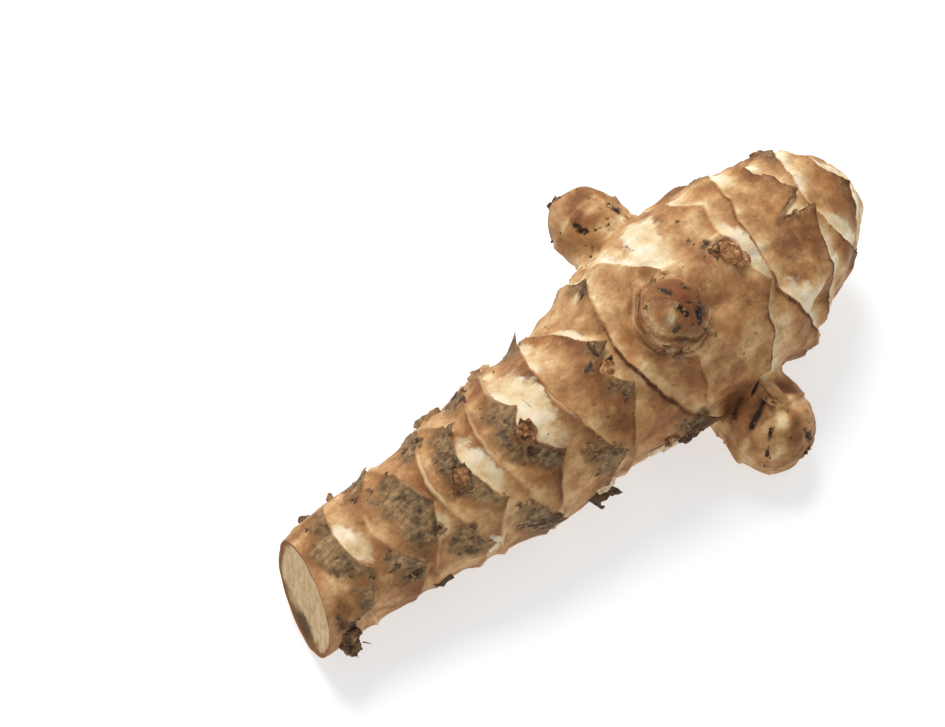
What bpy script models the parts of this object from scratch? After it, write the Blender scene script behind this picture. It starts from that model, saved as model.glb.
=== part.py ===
"""Jerusalem artichoke: one whole tuber with its cut stolon end, node ridges and side knobs.

The tuber is a swollen underground stem. Its long axis runs along X: the cut end that joined the
plant is at -X and the blunt crown at +X. It rests at z = 0 on its belly and on one side knob.
"""

import math

import bpy
import bmesh
import numpy as np
from mathutils import Vector, noise

MM = 0.001

# Driving dimensions, in millimetres. The axis of the body, as x, y, z, from the cut end to the crown.
AXIS = [
    (-58, 1.6, 9.0), (-44, 1.4, 9.9), (-30, 0.1, 11.1), (-14, -1.0, 13.2), (2, -1.1, 14.1),
    (18, -0.2, 16.0), (32, 0.1, 15.9), (44, 1.5, 14.9), (58, 2.9, 15.0),
]
# The body's radius at stations along x.
GIRTH = [
    (-58, 8.6), (-50, 9.3), (-44, 9.8), (-36, 10.0), (-28, 10.9), (-20, 12.0), (-12, 12.8), (-4, 12.7),
    (4, 13.8), (12, 15.2), (20, 16.0), (28, 16.0), (34, 15.6), (40, 14.2), (46, 12.9), (50, 11.3),
    (54, 8.4), (57, 4.6), (58.2, 0),
]

# The cut through the stolon end: a point on it and the way it faces.
CUT_POINT = (-53.2, 1.9, 9.5)
CUT_FACING = (-0.966, 0.240, 0.096)

# Each node carries a ring of scale leaves. A ring is written as angle in degrees and x in mm, by turns
# at a leaf's tip and at the valley before the next tip. Angle 0 is on top and 90 on the -Y side.
# The leaves stand in opposite pairs, and each pair is turned a quarter turn from the last.
RINGS = [
    [(8, -43.0), (75, -47.4), (190, -43.5), (300, -48.5)],
    [(-60, -35.0), (10, -41.0), (60, -36.4), (185, -41.0)],
    [(18, -31.2), (100, -35.5), (195, -31.0), (290, -35.0)],
    [(-50, -25.5), (12, -29.8), (77, -26.8), (190, -30.0)],
    [(8, -20.4), (95, -25.0), (190, -21.0), (285, -25.0)],
    [(-55, -15.8), (15, -19.6), (94, -16.0), (190, -19.5)],
    [(-42, -13.2), (-18, -14.6), (0, -13.4), (18, -14.6), (42, -12.0), (110, -16.2), (200, -12.2), (270, -15.6)],
    [(-61, -4.4), (12, -8.3), (71, -3.8), (190, -8.4)],
    [(5, 3.0), (15, 0.3), (34, 2.2), (100, -2.2), (195, 2.0), (285, -2.6)],
    [(-36, 10.0), (22, 4.6), (96, 10.2), (195, 4.8)],
    [(-1, 17.6), (100, 11.3), (190, 17.0), (280, 11.6)],
    [(-19, 28.4), (11, 25.8), (38, 27.6), (110, 23.6), (190, 27.6), (285, 24.2)],
    [(-45, 35.2), (30, 29.2), (90, 33.0), (190, 29.6)],
    [(9, 42.2), (16, 36.0), (22, 42.0), (100, 37.4), (195, 41.8), (280, 38.4)],
    [(-30, 48.6), (28, 43.0), (82, 47.6), (190, 43.6)],
    [(29, 53.4), (110, 49.2), (205, 52.6), (300, 48.8)],
]
LEAF_POINT = 1.6        # 1 is a straight-sided leaf tip, 2 a round one
RING_APART = 1.1        # least distance between one ring and the next

# The relief at a ring.
LEAF_LIFT = 0.50        # the leaf's edge stands proud by this
LEAF_FADE = 2.6         # and falls back towards its own node over this
STEP_DOWN = 0.95        # drop from the edge to the bare skin beyond
STEP_FADE = 1.8
EDGE_WIDTH = 0.45       # thickness of the leaf's edge
RIB_HEIGHT = 0.30       # low rib of skin just past the edge
RIB_AT = 1.5
RIB_WIDTH = 0.7
WAIST = 0.35            # the stem is a little hollow between two nodes
TIP_LIFT = 0.50         # the very tip of a leaf curls up
TIP_REACH = 2.2

# The buds in the leaf axils: angle, x, radius across, height.
BUDS = [
    (14, -25.2, 1.9, 0.8), (18, -14.6, 1.7, 0.8), (14, 0.6, 1.9, 0.9), (11, 26.0, 2.2, 0.9),
    (-66, -21.8, 1.8, 1.3), (-66, -10.6, 1.8, 1.4), (200, -14.5, 2.0, 0.9), (195, 0.0, 2.0, 0.9),
    (92, 6.0, 2.0, 0.7), (8, -45.6, 1.6, 0.5), (80, -29.0, 1.8, 0.8), (190, 38.5, 2.2, 0.9),
    (-72, 27.0, 4.0, 1.2), (-70, 2.0, 3.0, 0.9), (90, 30.0, 1.9, 0.7), (29, 50.6, 1.8, 0.5), (190, -24.0, 1.9, 0.8),
]

# A side knob is a bud grown out. foot and centre are on its axis, and its end is a dome about centre.
# rings are distances of its leaf rings from the centre, outwards along the axis.
KNOBS = {
    "far": {"foot": (21.6, 5.3, 13.9), "centre": (19.6, 20.8, 19.1), "r": 6.2, "neck": 0.96,
            "rings": (-5.6, -1.2, 2.6), "turn": 20},
    "near": {"foot": (20.6, -3.0, 9.6), "centre": (21.7, -20.3, 6.9), "r": 7.3, "neck": 0.90,
             "rings": (-4.6, -0.2, 3.4), "turn": 60},
    "top": {"foot": (12.0, -3.2, 20.0), "centre": (13.6, -5.6, 29.2), "r": 5.6, "neck": 0.98,
            "rings": (0.2, 2.6, 4.4), "turn": 100},
    "small": {"foot": (37.4, -2.0, 12.6), "centre": (37.4, -11.4, 6.6), "r": 2.6, "neck": 0.95,
              "rings": (0.0, 1.8), "turn": 0},
}
KNOB_RING_SWAY = 0.5    # a knob's ring dips and rises by this twice a turn
KNOB_RELIEF = 0.75      # its relief against the body's

LUMPS = 0.45            # slow unevenness of a thing grown among stones
LUMP_SIZE = 14.0
REST_TRIM = 0.55        # depth by which the lowest places are flattened
VOXEL = 0.55            # grain of the fused body before its relief
BLEND_ROUNDS = 14       # smoothing rounds that fillet the knobs into the body
TRIANGLES = 10400


def clear_scene():
    for existing in list(bpy.data.objects):
        bpy.data.objects.remove(existing, do_unlink=True)


def new_collection(name):
    collection = bpy.data.collections.new(name)
    bpy.context.scene.collection.children.link(collection)
    return collection


def smooth_through(stations, at):
    """A smooth curve through (place, value, ...) stations, read at every entry of at."""
    table = np.array(stations, float)
    place = table[:, 0]
    value = table[:, 1:]
    slope = np.gradient(value, place, axis=0)
    i = np.clip(np.searchsorted(place, at) - 1, 0, len(place) - 2)
    span = place[i + 1] - place[i]
    u = np.clip((at - place[i]) / span, 0, 1)[:, None]
    span = span[:, None]
    start = value[i] * (1 + 2 * u) * (1 - u) ** 2 + slope[i] * span * u * (1 - u) ** 2
    end = value[i + 1] * u * u * (3 - 2 * u) + slope[i + 1] * span * u * u * (u - 1)
    return start + end


def body_frames(x):
    """At each x: the axis point, and the unit vectors along, up and to the side of the axis."""
    centre = np.column_stack([x, smooth_through(AXIS, x)])
    ahead = np.column_stack([x + 0.5, smooth_through(AXIS, x + 0.5)])
    behind = np.column_stack([x - 0.5, smooth_through(AXIS, x - 0.5)])
    along = ahead - behind
    along /= np.linalg.norm(along, axis=1)[:, None]
    up = np.array([0.0, 0.0, 1.0]) - along * along[:, 2:3]
    up /= np.linalg.norm(up, axis=1)[:, None]
    return centre, along, up, np.cross(along, up)


def body_places(points):
    """The x on the axis, the angle round it and the distance from it, for points in mm."""
    x = points[:, 0].copy()
    for _ in range(5):
        centre, along, up, side = body_frames(x)
        x += np.sum((points - centre) * along, axis=1)
    out = points - centre
    angle = np.arctan2(-np.sum(out * side, axis=1) * -1, np.sum(out * up, axis=1))
    return x, angle, np.linalg.norm(out, axis=1)


def knob_frame(knob):
    """The foot, the unit vectors along and across the knob's axis, and the centre's distance."""
    foot = np.array(knob["foot"], float)
    along = np.array(knob["centre"], float) - foot
    reach = np.linalg.norm(along)
    along /= reach
    across = np.cross(along, (0.0, 0.0, 1.0) if abs(along[2]) < 0.9 else (1.0, 0.0, 0.0))
    across /= np.linalg.norm(across)
    return foot, along, across, np.cross(along, across), reach


def knob_girth(knob, reach):
    """Radius stations along a knob: a neck, a swelling and a domed end."""
    r = knob["r"]
    neck = r * knob["neck"]
    stations = [(0, neck * 0.9), (reach - 1.5 * r, neck), (reach - 0.8 * r, (neck + r) / 2)]
    for lean in (0, 30, 52, 70, 82, 90):
        rise = math.radians(lean)
        stations.append((reach + r * math.sin(rise), r * math.cos(rise)))
    return stations


def pulled_sphere(name, collection, start, end, place):
    """A sphere primitive pulled over an axis: place gives a point for a position and an angle."""
    bpy.ops.mesh.primitive_uv_sphere_add(segments=96, ring_count=180, radius=1.0)
    form = bpy.context.active_object
    form.name = name
    unit = np.zeros(len(form.data.vertices) * 3)
    form.data.vertices.foreach_get("co", unit)
    unit = unit.reshape(-1, 3)
    along = (start + end) / 2 + unit[:, 2] * (end - start) / 2
    angle = np.arctan2(unit[:, 1], unit[:, 0])
    form.data.vertices.foreach_set("co", (place(along, angle) * MM).ravel())
    for owner in list(form.users_collection):
        owner.objects.unlink(form)
    collection.objects.link(form)
    return form


def body_form(collection):
    def place(x, angle):
        centre, along, up, side = body_frames(x)
        r = smooth_through(GIRTH, x)
        return centre + r * (np.cos(angle)[:, None] * up + np.sin(angle)[:, None] * side)

    return pulled_sphere("body_form", collection, GIRTH[0][0], GIRTH[-1][0], place)


def knob_form(name, knob, collection):
    foot, along, across, over, reach = knob_frame(knob)
    stations = knob_girth(knob, reach)

    def place(s, angle):
        r = smooth_through(stations, s)
        ring = np.cos(angle)[:, None] * across + np.sin(angle)[:, None] * over
        return foot + s[:, None] * along + r * ring

    return pulled_sphere(name + "_form", collection, 0.0, reach + knob["r"], place)


def fused_form(forms, collection):
    """The body and its knobs as one closed skin, with the knobs' necks filleted in."""
    joined = bmesh.new()
    for form in forms:
        joined.from_mesh(form.data)
        bpy.data.objects.remove(form, do_unlink=True)
    mesh = bpy.data.meshes.new("tuber")
    joined.to_mesh(mesh)
    joined.free()
    tuber = bpy.data.objects.new("tuber", mesh)
    collection.objects.link(tuber)
    fuse = tuber.modifiers.new("fuse", "REMESH")
    fuse.mode = "VOXEL"
    fuse.voxel_size = VOXEL * MM
    blend = tuber.modifiers.new("blend", "SMOOTH")
    blend.factor = 0.5
    blend.iterations = BLEND_ROUNDS
    apply_modifiers(tuber)
    return tuber


def apply_modifiers(thing):
    """Replaces the object's mesh by what its modifiers make of it."""
    view = bpy.context.evaluated_depsgraph_get()
    made = bpy.data.meshes.new_from_object(thing.evaluated_get(view), depsgraph=view)
    old = thing.data
    thing.modifiers.clear()
    thing.data = made
    bpy.data.meshes.remove(old)
    made.name = thing.name


def ring_line(points, angle):
    """The x of one ring at every angle: sharp at the leaf tips and round in the valleys."""
    turned = np.radians([a for a, x in points])
    x = np.array([x for a, x in points] + [points[0][1]], float)
    start = np.append(np.mod(turned - turned[0], 2 * math.pi), 2 * math.pi)
    turn = np.mod(angle - turned[0], 2 * math.pi)
    i = np.clip(np.searchsorted(start, turn, side="right") - 1, 0, len(points) - 1)
    u = (turn - start[i]) / (start[i + 1] - start[i])
    at_tip = i % 2 == 0
    from_tip = np.where(at_tip, u, 1 - u)
    tip = np.where(at_tip, x[i], x[i + 1])
    valley = np.where(at_tip, x[i + 1], x[i])
    return tip + (valley - tip) * (1 - (1 - from_tip) ** LEAF_POINT)


def ring_lines(angle):
    """Every ring's x at every angle, each kept clear of the ring before it."""
    lines = [ring_line(points, angle) for points in RINGS]
    for before, after in zip(lines, lines[1:]):
        np.maximum(after, before + RING_APART, out=after)
    return np.array(lines)


def leaf_relief(past, to_next):
    """Height at a distance past one leaf edge and short of the next."""
    fallen = 1 - np.exp(-past / EDGE_WIDTH)
    edge = LEAF_LIFT * np.maximum(np.exp(-to_next / LEAF_FADE), 1 - fallen)
    step = -STEP_DOWN * fallen * np.exp(-past / STEP_FADE)
    rib = RIB_HEIGHT * np.exp(-((past - RIB_AT) / RIB_WIDTH) ** 2)
    waist = -WAIST * np.sin(math.pi * past / (past + to_next))
    return edge + step + rib + waist


def body_relief(x, angle):
    """Height of the rings, the curled leaf tips and the buds over the smooth body."""
    lines = ring_lines(angle)
    first = np.full((1, len(x)), GIRTH[0][0] - 4.0)
    last = np.full((1, len(x)), GIRTH[-1][0] + 3.0)
    edges = np.vstack([first, lines, last])
    k = np.sum(edges <= x, axis=0) - 1
    k = np.clip(k, 0, len(edges) - 2)
    each = np.arange(len(x))
    height = leaf_relief(np.maximum(x - edges[k, each], 0), np.maximum(edges[k + 1, each] - x, 0))
    r = smooth_through(GIRTH, x)[:, 0]
    for points in RINGS:
        for turned, tip_x in points[0::2]:
            away = turn_between(angle, turned) * r
            before = np.maximum(tip_x - x, 0)
            beyond = np.maximum(x - tip_x, 0) * 4
            height += TIP_LIFT * np.exp(-np.hypot(away, before + beyond) / TIP_REACH)
    for turned, bud_x, across, high in BUDS:
        away = turn_between(angle, turned) * r
        height += high * np.exp(-((away / across) ** 2 + ((x - bud_x) / across) ** 2))
    return height


def turn_between(angle, degrees):
    """Signed angle from a direction given in degrees."""
    return np.mod(angle - math.radians(degrees) + math.pi, 2 * math.pi) - math.pi


def knob_relief(knob, points):
    """Height of a knob's own rings, and how much each point belongs to the knob."""
    foot, along, across, over, reach = knob_frame(knob)
    out = points - foot
    s = out @ along
    radial = out - s[:, None] * along
    angle = np.arctan2(radial @ over, radial @ across)
    r = np.linalg.norm(radial, axis=1)
    height = np.zeros(len(points))
    edges = [np.full(len(points), -99.0)]
    for i, ring in enumerate(knob["rings"]):
        sway = np.cos(2 * angle + math.radians(knob["turn"]) + i * math.pi)
        edges.append(reach + ring + KNOB_RING_SWAY * sway)
    edges.append(np.full(len(points), reach + knob["r"] + 1.5))
    edges = np.array(edges)
    k = np.clip(np.sum(edges <= s, axis=0) - 1, 0, len(edges) - 2)
    each = np.arange(len(points))
    past = s - edges[k, each]
    to_next = edges[k + 1, each] - s
    height = KNOB_RELIEF * leaf_relief(np.maximum(past, 0), np.maximum(to_next, 0))
    inside = np.clip((knob["r"] * 1.35 - r) / (knob["r"] * 0.35), 0, 1)
    first_ring = reach + knob["rings"][0] - 1.5
    beyond = np.clip((s - first_ring) / 1.5, 0, 1)
    return height, inside * beyond


def raise_relief(tuber):
    """Moves every vertex along its normal by the leaves, buds and lumps of the place it is at."""
    mesh = tuber.data
    count = len(mesh.vertices)
    points = np.zeros(count * 3)
    normals = np.zeros(count * 3)
    mesh.vertices.foreach_get("co", points)
    mesh.vertex_normals.foreach_get("vector", normals)
    points = points.reshape(-1, 3) / MM
    normals = normals.reshape(-1, 3)
    x, angle, _ = body_places(points)
    height = body_relief(x, angle)
    for knob in KNOBS.values():
        own, share = knob_relief(knob, points)
        height = height * (1 - share) + own * share
    lumps = np.array([noise.noise(Vector(p / LUMP_SIZE)) for p in points])
    height += LUMPS * lumps
    mesh.vertices.foreach_set("co", ((points + normals * height[:, None]) * MM).ravel())
    mesh.update()


def thin_out(tuber):
    """Fewer triangles where the skin is smooth, most of them kept at the leaf edges."""
    faces = sum(len(face.vertices) - 2 for face in tuber.data.polygons)
    thin = tuber.modifiers.new("thin", "DECIMATE")
    thin.decimate_type = "COLLAPSE"
    thin.ratio = TRIANGLES / faces
    thin.use_collapse_triangulate = True
    apply_modifiers(tuber)


def slice_off(mesh, point, facing):
    """Cuts away what lies beyond a plane and closes the cut with a flat face."""
    everything = mesh.verts[:] + mesh.edges[:] + mesh.faces[:]
    bmesh.ops.bisect_plane(
        mesh, geom=everything, dist=1e-6, plane_co=Vector(point), plane_no=Vector(facing), clear_outer=True
    )
    rim = [edge for edge in mesh.edges if edge.is_boundary]
    bmesh.ops.contextual_create(mesh, geom=rim)
    bmesh.ops.holes_fill(mesh, edges=[edge for edge in mesh.edges if edge.is_boundary], sides=0)


def finish_solid(tuber):
    """Stands the tuber on its rest plane, cuts its end and leaves one closed triangle mesh."""
    mesh = bmesh.new()
    mesh.from_mesh(tuber.data)
    slice_off(mesh, np.array(CUT_POINT) * MM, CUT_FACING)
    rest = min(vertex.co.z for vertex in mesh.verts) + REST_TRIM * MM
    slice_off(mesh, (0, 0, rest), (0, 0, -1))
    bmesh.ops.triangulate(mesh, faces=mesh.faces[:])
    bmesh.ops.dissolve_degenerate(mesh, dist=1e-5, edges=mesh.edges[:])
    bmesh.ops.triangulate(mesh, faces=mesh.faces[:])
    bmesh.ops.recalc_face_normals(mesh, faces=mesh.faces[:])
    low = [min(vertex.co[i] for vertex in mesh.verts) for i in range(3)]
    high = [max(vertex.co[i] for vertex in mesh.verts) for i in range(3)]
    origin = Vector(((low[0] + high[0]) / 2, (low[1] + high[1]) / 2, low[2]))
    for vertex in mesh.verts:
        vertex.co -= origin
    mesh.to_mesh(tuber.data)
    print("tuber mm:", [round((high[i] - low[i]) / MM, 2) for i in range(3)], "triangles", len(mesh.faces))
    print("origin was at", [round(value / MM, 3) for value in origin])
    open_edges = sum(1 for edge in mesh.edges if len(edge.link_faces) != 2)
    print("open or shared edges:", open_edges, "volume cm3:", round(mesh.calc_volume() * 1e6, 2))
    mesh.free()


def tuber_skin():
    """Tan cork-like skin, dry and matte."""
    material = bpy.data.materials.new("tuber_skin")
    material.use_nodes = True
    shader = material.node_tree.nodes["Principled BSDF"]
    shader.inputs["Base Color"].default_value = (0.46, 0.27, 0.13, 1.0)
    shader.inputs["Roughness"].default_value = 0.62
    shader.inputs["Metallic"].default_value = 0.0
    return material


def main():
    clear_scene()
    collection = new_collection("jerusalem_artichoke")
    forms = [body_form(collection)]
    for name, knob in KNOBS.items():
        forms.append(knob_form(name, knob, collection))
    tuber = fused_form(forms, collection)
    raise_relief(tuber)
    thin_out(tuber)
    finish_solid(tuber)
    tuber.data.materials.clear()
    tuber.data.materials.append(tuber_skin())
    tuber.data.shade_smooth()


main()
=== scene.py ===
# %% [markdown]
# # A Jerusalem artichoke
#
# A Jerusalem artichoke is the swollen end of an underground stem. Like any stem it has nodes, and each
# node carries a pair of thin leaf scales that wrap round it. The scales dry to paper, tear, and leave
# ridges, grey patches and pale young skin behind them. This lesson builds that skin in layers.
# First comes the load of the frame, the plain solid that gives the size and the place of everything.

# %% Load the frame
import math
import random

import bmesh
import bpy
import numpy as np
from mathutils import Matrix, Vector, noise
from mathutils.bvhtree import BVHTree


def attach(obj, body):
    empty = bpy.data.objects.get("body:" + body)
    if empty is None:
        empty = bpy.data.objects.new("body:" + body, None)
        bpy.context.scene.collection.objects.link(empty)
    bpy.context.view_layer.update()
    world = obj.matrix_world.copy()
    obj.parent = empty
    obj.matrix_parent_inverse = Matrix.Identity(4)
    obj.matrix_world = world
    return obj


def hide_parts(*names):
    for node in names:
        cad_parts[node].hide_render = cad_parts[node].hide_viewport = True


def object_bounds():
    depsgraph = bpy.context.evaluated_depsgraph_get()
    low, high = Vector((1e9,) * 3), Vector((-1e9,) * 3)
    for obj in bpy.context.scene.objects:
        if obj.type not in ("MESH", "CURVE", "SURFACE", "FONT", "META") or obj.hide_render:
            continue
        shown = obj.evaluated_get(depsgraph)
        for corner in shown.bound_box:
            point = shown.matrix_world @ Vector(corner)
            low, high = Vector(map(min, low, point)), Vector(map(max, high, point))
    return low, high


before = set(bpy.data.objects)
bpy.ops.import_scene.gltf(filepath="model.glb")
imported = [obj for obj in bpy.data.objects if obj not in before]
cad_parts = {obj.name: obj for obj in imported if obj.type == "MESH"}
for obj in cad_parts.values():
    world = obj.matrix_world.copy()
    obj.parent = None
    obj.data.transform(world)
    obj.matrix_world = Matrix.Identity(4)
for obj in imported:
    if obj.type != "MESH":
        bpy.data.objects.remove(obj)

MM = 0.001
cad_box = [list(corner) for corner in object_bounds()]
print("frame box mm", [[round(value / MM, 1) for value in corner] for corner in cad_box])

# %% [markdown]
# ## Two small helpers
#
# A colour is easiest to choose as an sRGB hex value, the kind a colour picker gives. Blender's
# shaders work in linear light, so one function turns a hex value to linear. A second function adds a
# shader node with its settings and its links in one line, which keeps a long material readable.

# %% Helpers for colours and nodes
def linear(hex_colour):
    """A linear colour with alpha from an sRGB hex value such as "C8976A"."""
    channels = [int(hex_colour[i:i + 2], 16) / 255 for i in (0, 2, 4)]
    return tuple(c / 12.92 if c <= 0.04045 else ((c + 0.055) / 1.055) ** 2.4 for c in channels) + (1.0,)


def add(tree, kind, inputs=None, stops=None, **settings):
    """Adds a node, called by its Blender name without ShaderNode, with its settings and links.

    inputs maps a socket's name or number to a value, a node or a socket.
    """
    node = tree.nodes.new("ShaderNode" + kind)
    for name, value in settings.items():
        setattr(node, name, value)
    for key, value in (inputs or {}).items():
        if isinstance(value, bpy.types.Node):
            value = value.outputs[0]
        if isinstance(value, bpy.types.NodeSocket):
            tree.links.new(value, node.inputs[key])
        else:
            node.inputs[key].default_value = value
    if stops:
        ramp = node.color_ramp.elements
        while len(ramp) < len(stops):
            ramp.new(0.5)
        for element, (place, colour) in zip(ramp, stops):
            element.position = place
            element.color = linear(colour)
    return node


print("tan skin in linear light", [round(c, 3) for c in linear("C8976A")])

# %% [markdown]
# ## The form of the body
#
# The body is a bent, tapering stem: thin at the cut end, thick near the crown. A few stations along its
# length say where its middle runs and how thick it is, and a smooth curve joins them. A sphere
# primitive is then pulled over that axis, which gives closed round ends with no poles to mend.

# %% Axis and girth
AXIS = [
    (-58, 1.6, 9.0), (-44, 1.4, 9.9), (-30, 0.1, 11.1), (-14, -1.0, 13.2), (2, -1.1, 14.1),
    (18, -0.2, 16.0), (32, 0.1, 15.9), (44, 1.5, 14.9), (58, 2.9, 15.0),
]
GIRTH = [
    (-58, 8.6), (-50, 9.3), (-44, 9.8), (-36, 10.0), (-28, 10.9), (-20, 12.0), (-12, 12.8), (-4, 12.7),
    (4, 13.8), (12, 15.2), (20, 16.0), (28, 16.0), (34, 15.6), (40, 14.2), (46, 12.9), (50, 11.3),
    (54, 8.4), (57, 4.6), (58.2, 0),
]
CUT_POINT = (-53.4, 1.9, 9.5)
CUT_FACING = (-0.962, 0.240, 0.132)


def smooth_through(stations, at):
    """A smooth curve through (place, value, ...) stations, read at every entry of at."""
    table = np.array(stations, float)
    place = table[:, 0]
    value = table[:, 1:]
    slope = np.gradient(value, place, axis=0)
    i = np.clip(np.searchsorted(place, at) - 1, 0, len(place) - 2)
    span = place[i + 1] - place[i]
    u = np.clip((at - place[i]) / span, 0, 1)[:, None]
    span = span[:, None]
    start = value[i] * (1 + 2 * u) * (1 - u) ** 2 + slope[i] * span * u * (1 - u) ** 2
    end = value[i + 1] * u * u * (3 - 2 * u) + slope[i + 1] * span * u * u * (u - 1)
    return start + end


def body_frames(x):
    """At each x: the axis point, and the unit vectors along, up and to the side of the axis."""
    centre = np.column_stack([x, smooth_through(AXIS, x)])
    ahead = np.column_stack([x + 0.5, smooth_through(AXIS, x + 0.5)])
    behind = np.column_stack([x - 0.5, smooth_through(AXIS, x - 0.5)])
    along = ahead - behind
    along /= np.linalg.norm(along, axis=1)[:, None]
    up = np.array([0.0, 0.0, 1.0]) - along * along[:, 2:3]
    up /= np.linalg.norm(up, axis=1)[:, None]
    return centre, along, up, np.cross(along, up)


def body_places(points):
    """The x on the axis and the angle round it for points in mm. Angle 0 is on top."""
    x = points[:, 0].copy()
    for _ in range(5):
        centre, along, up, side = body_frames(x)
        x += np.sum((points - centre) * along, axis=1)
    out = points - centre
    return x, np.arctan2(np.sum(out * side, axis=1), np.sum(out * up, axis=1))


def body_points(x, angle, r):
    """Points in mm at a place on the axis, an angle round it and a distance from it."""
    centre, along, up, side = body_frames(x)
    return centre + r[:, None] * (np.cos(angle)[:, None] * up + np.sin(angle)[:, None] * side)


print("body from", GIRTH[0][0], "to", GIRTH[-1][0], "mm, thickest", 2 * max(r for x, r in GIRTH), "mm")

# %% [markdown]
# ## Side knobs
#
# A bud in a scale's armpit can start to swell as well. It then becomes a knob with a neck, a round head
# and small scale rings of its own. Each knob is described by the foot and the centre of its head,
# and the same pulled sphere makes it.

# %% Knobs
KNOBS = {
    "far": {"foot": (20.4, 5.3, 13.9), "centre": (19.8, 20.6, 19.1), "r": 6.2, "neck": 1.00,
            "rings": (-4.4, 1.2), "turn": 20},
    "near": {"foot": (20.9, -3.0, 9.6), "centre": (22.1, -20.2, 7.1), "r": 7.3, "neck": 0.93,
             "rings": (-4.8, 0.4), "turn": 60},
    "top": {"foot": (12.0, -3.2, 20.0), "centre": (13.0, -5.3, 28.9), "r": 5.9, "neck": 0.90,
            "rings": (-1.6, -0.5, 1.9), "turn": 100},
    "small": {"foot": (37.4, -2.0, 12.6), "centre": (37.4, -11.4, 6.6), "r": 2.6, "neck": 0.95,
              "rings": (0.0, 1.8), "turn": 0},
}


def knob_frame(knob):
    """The foot, the unit vectors along and across the knob's axis, and the centre's distance."""
    foot = np.array(knob["foot"], float)
    along = np.array(knob["centre"], float) - foot
    reach = np.linalg.norm(along)
    along /= reach
    across = np.cross(along, (0.0, 0.0, 1.0) if abs(along[2]) < 0.9 else (1.0, 0.0, 0.0))
    across /= np.linalg.norm(across)
    return foot, along, across, np.cross(along, across), reach


def knob_girth(knob, reach):
    """Radius stations along a knob: a neck, a swelling and a domed end."""
    r = knob["r"]
    neck = r * knob["neck"]
    stations = [(0, neck * 0.9), (reach - 1.5 * r, neck), (reach - 0.8 * r, (neck + r) / 2)]
    for lean in (0, 30, 52, 70, 82, 90):
        rise = math.radians(lean)
        stations.append((reach + r * math.sin(rise), r * math.cos(rise)))
    return stations


def pulled_sphere(name, start, end, place):
    """A sphere primitive pulled over an axis: place gives a point for a position and an angle."""
    bpy.ops.mesh.primitive_uv_sphere_add(segments=128, ring_count=260, radius=1.0)
    form = bpy.context.active_object
    form.name = name
    unit = np.zeros(len(form.data.vertices) * 3)
    form.data.vertices.foreach_get("co", unit)
    unit = unit.reshape(-1, 3)
    along = (start + end) / 2 + unit[:, 2] * (end - start) / 2
    angle = np.arctan2(unit[:, 1], unit[:, 0])
    form.data.vertices.foreach_set("co", (place(along, angle) * MM).ravel())
    return form


def knob_form(name, knob):
    foot, along, across, over, reach = knob_frame(knob)
    stations = knob_girth(knob, reach)

    def place(s, angle):
        r = smooth_through(stations, s)
        ring = np.cos(angle)[:, None] * across + np.sin(angle)[:, None] * over
        return foot + s[:, None] * along + r * ring

    return pulled_sphere(name + "_form", 0.0, reach + knob["r"], place)


forms = [pulled_sphere("body_form", GIRTH[0][0], GIRTH[-1][0],
                       lambda x, angle: body_points(x, angle, smooth_through(GIRTH, x)[:, 0]))]
forms += [knob_form(name, knob) for name, knob in KNOBS.items()]
print("forms:", [form.name for form in forms])

# %% [markdown]
# ## One skin over all of it
#
# The knobs grow out of the body, so no seam shows between them. A voxel Remesh throws away everything
# inside and lays one even skin over the joined forms, and a Smooth modifier fillets the necks. Its grain,
# 0.42 mm, is the finest detail that the mesh itself can carry.

# %% Fuse the forms
SKIN_GRAIN = 0.42
FILLET_ROUNDS = 25


def apply_modifiers(thing):
    """Replaces the object's mesh by what its modifiers make of it."""
    view = bpy.context.evaluated_depsgraph_get()
    made = bpy.data.meshes.new_from_object(thing.evaluated_get(view), depsgraph=view)
    thing.modifiers.clear()
    thing.data = made
    made.name = thing.name


def new_piece(name, mesh):
    piece = bpy.data.objects.new(name, mesh)
    bpy.context.scene.collection.objects.link(piece)
    return piece


def piece_from(name, form):
    """A new piece from an editable mesh, which is used up."""
    mesh = bpy.data.meshes.new(name)
    form.to_mesh(mesh)
    form.free()
    return new_piece(name, mesh)


def fuse(thing, grain):
    """Lays one even skin of small faces over everything that the object holds."""
    remesh = thing.modifiers.new("fuse", "REMESH")
    remesh.mode = "VOXEL"
    remesh.voxel_size = grain * MM


joined = bmesh.new()
for form in forms:
    joined.from_mesh(form.data)
    bpy.data.objects.remove(form, do_unlink=True)
skin = piece_from("tuber_skin", joined)
fuse(skin, SKIN_GRAIN)
fillet = skin.modifiers.new("fillet", "SMOOTH")
fillet.factor = 0.5
fillet.iterations = FILLET_ROUNDS
apply_modifiers(skin)
print("skin faces", len(skin.data.polygons))

# %% [markdown]
# ## Rings of leaf scales
#
# The scales stand in opposite pairs, and each pair is turned a quarter turn from the last one. Seen
# from above, a ring with a tip in the middle takes turns with a ring whose tips are at both sides. Each
# ring is a closed line: sharp at a tip, round in the valley between two tips. A row below is one ring,
# written as angle and x by turns at a tip and at a valley. Noise then makes each edge wander and fray.

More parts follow.
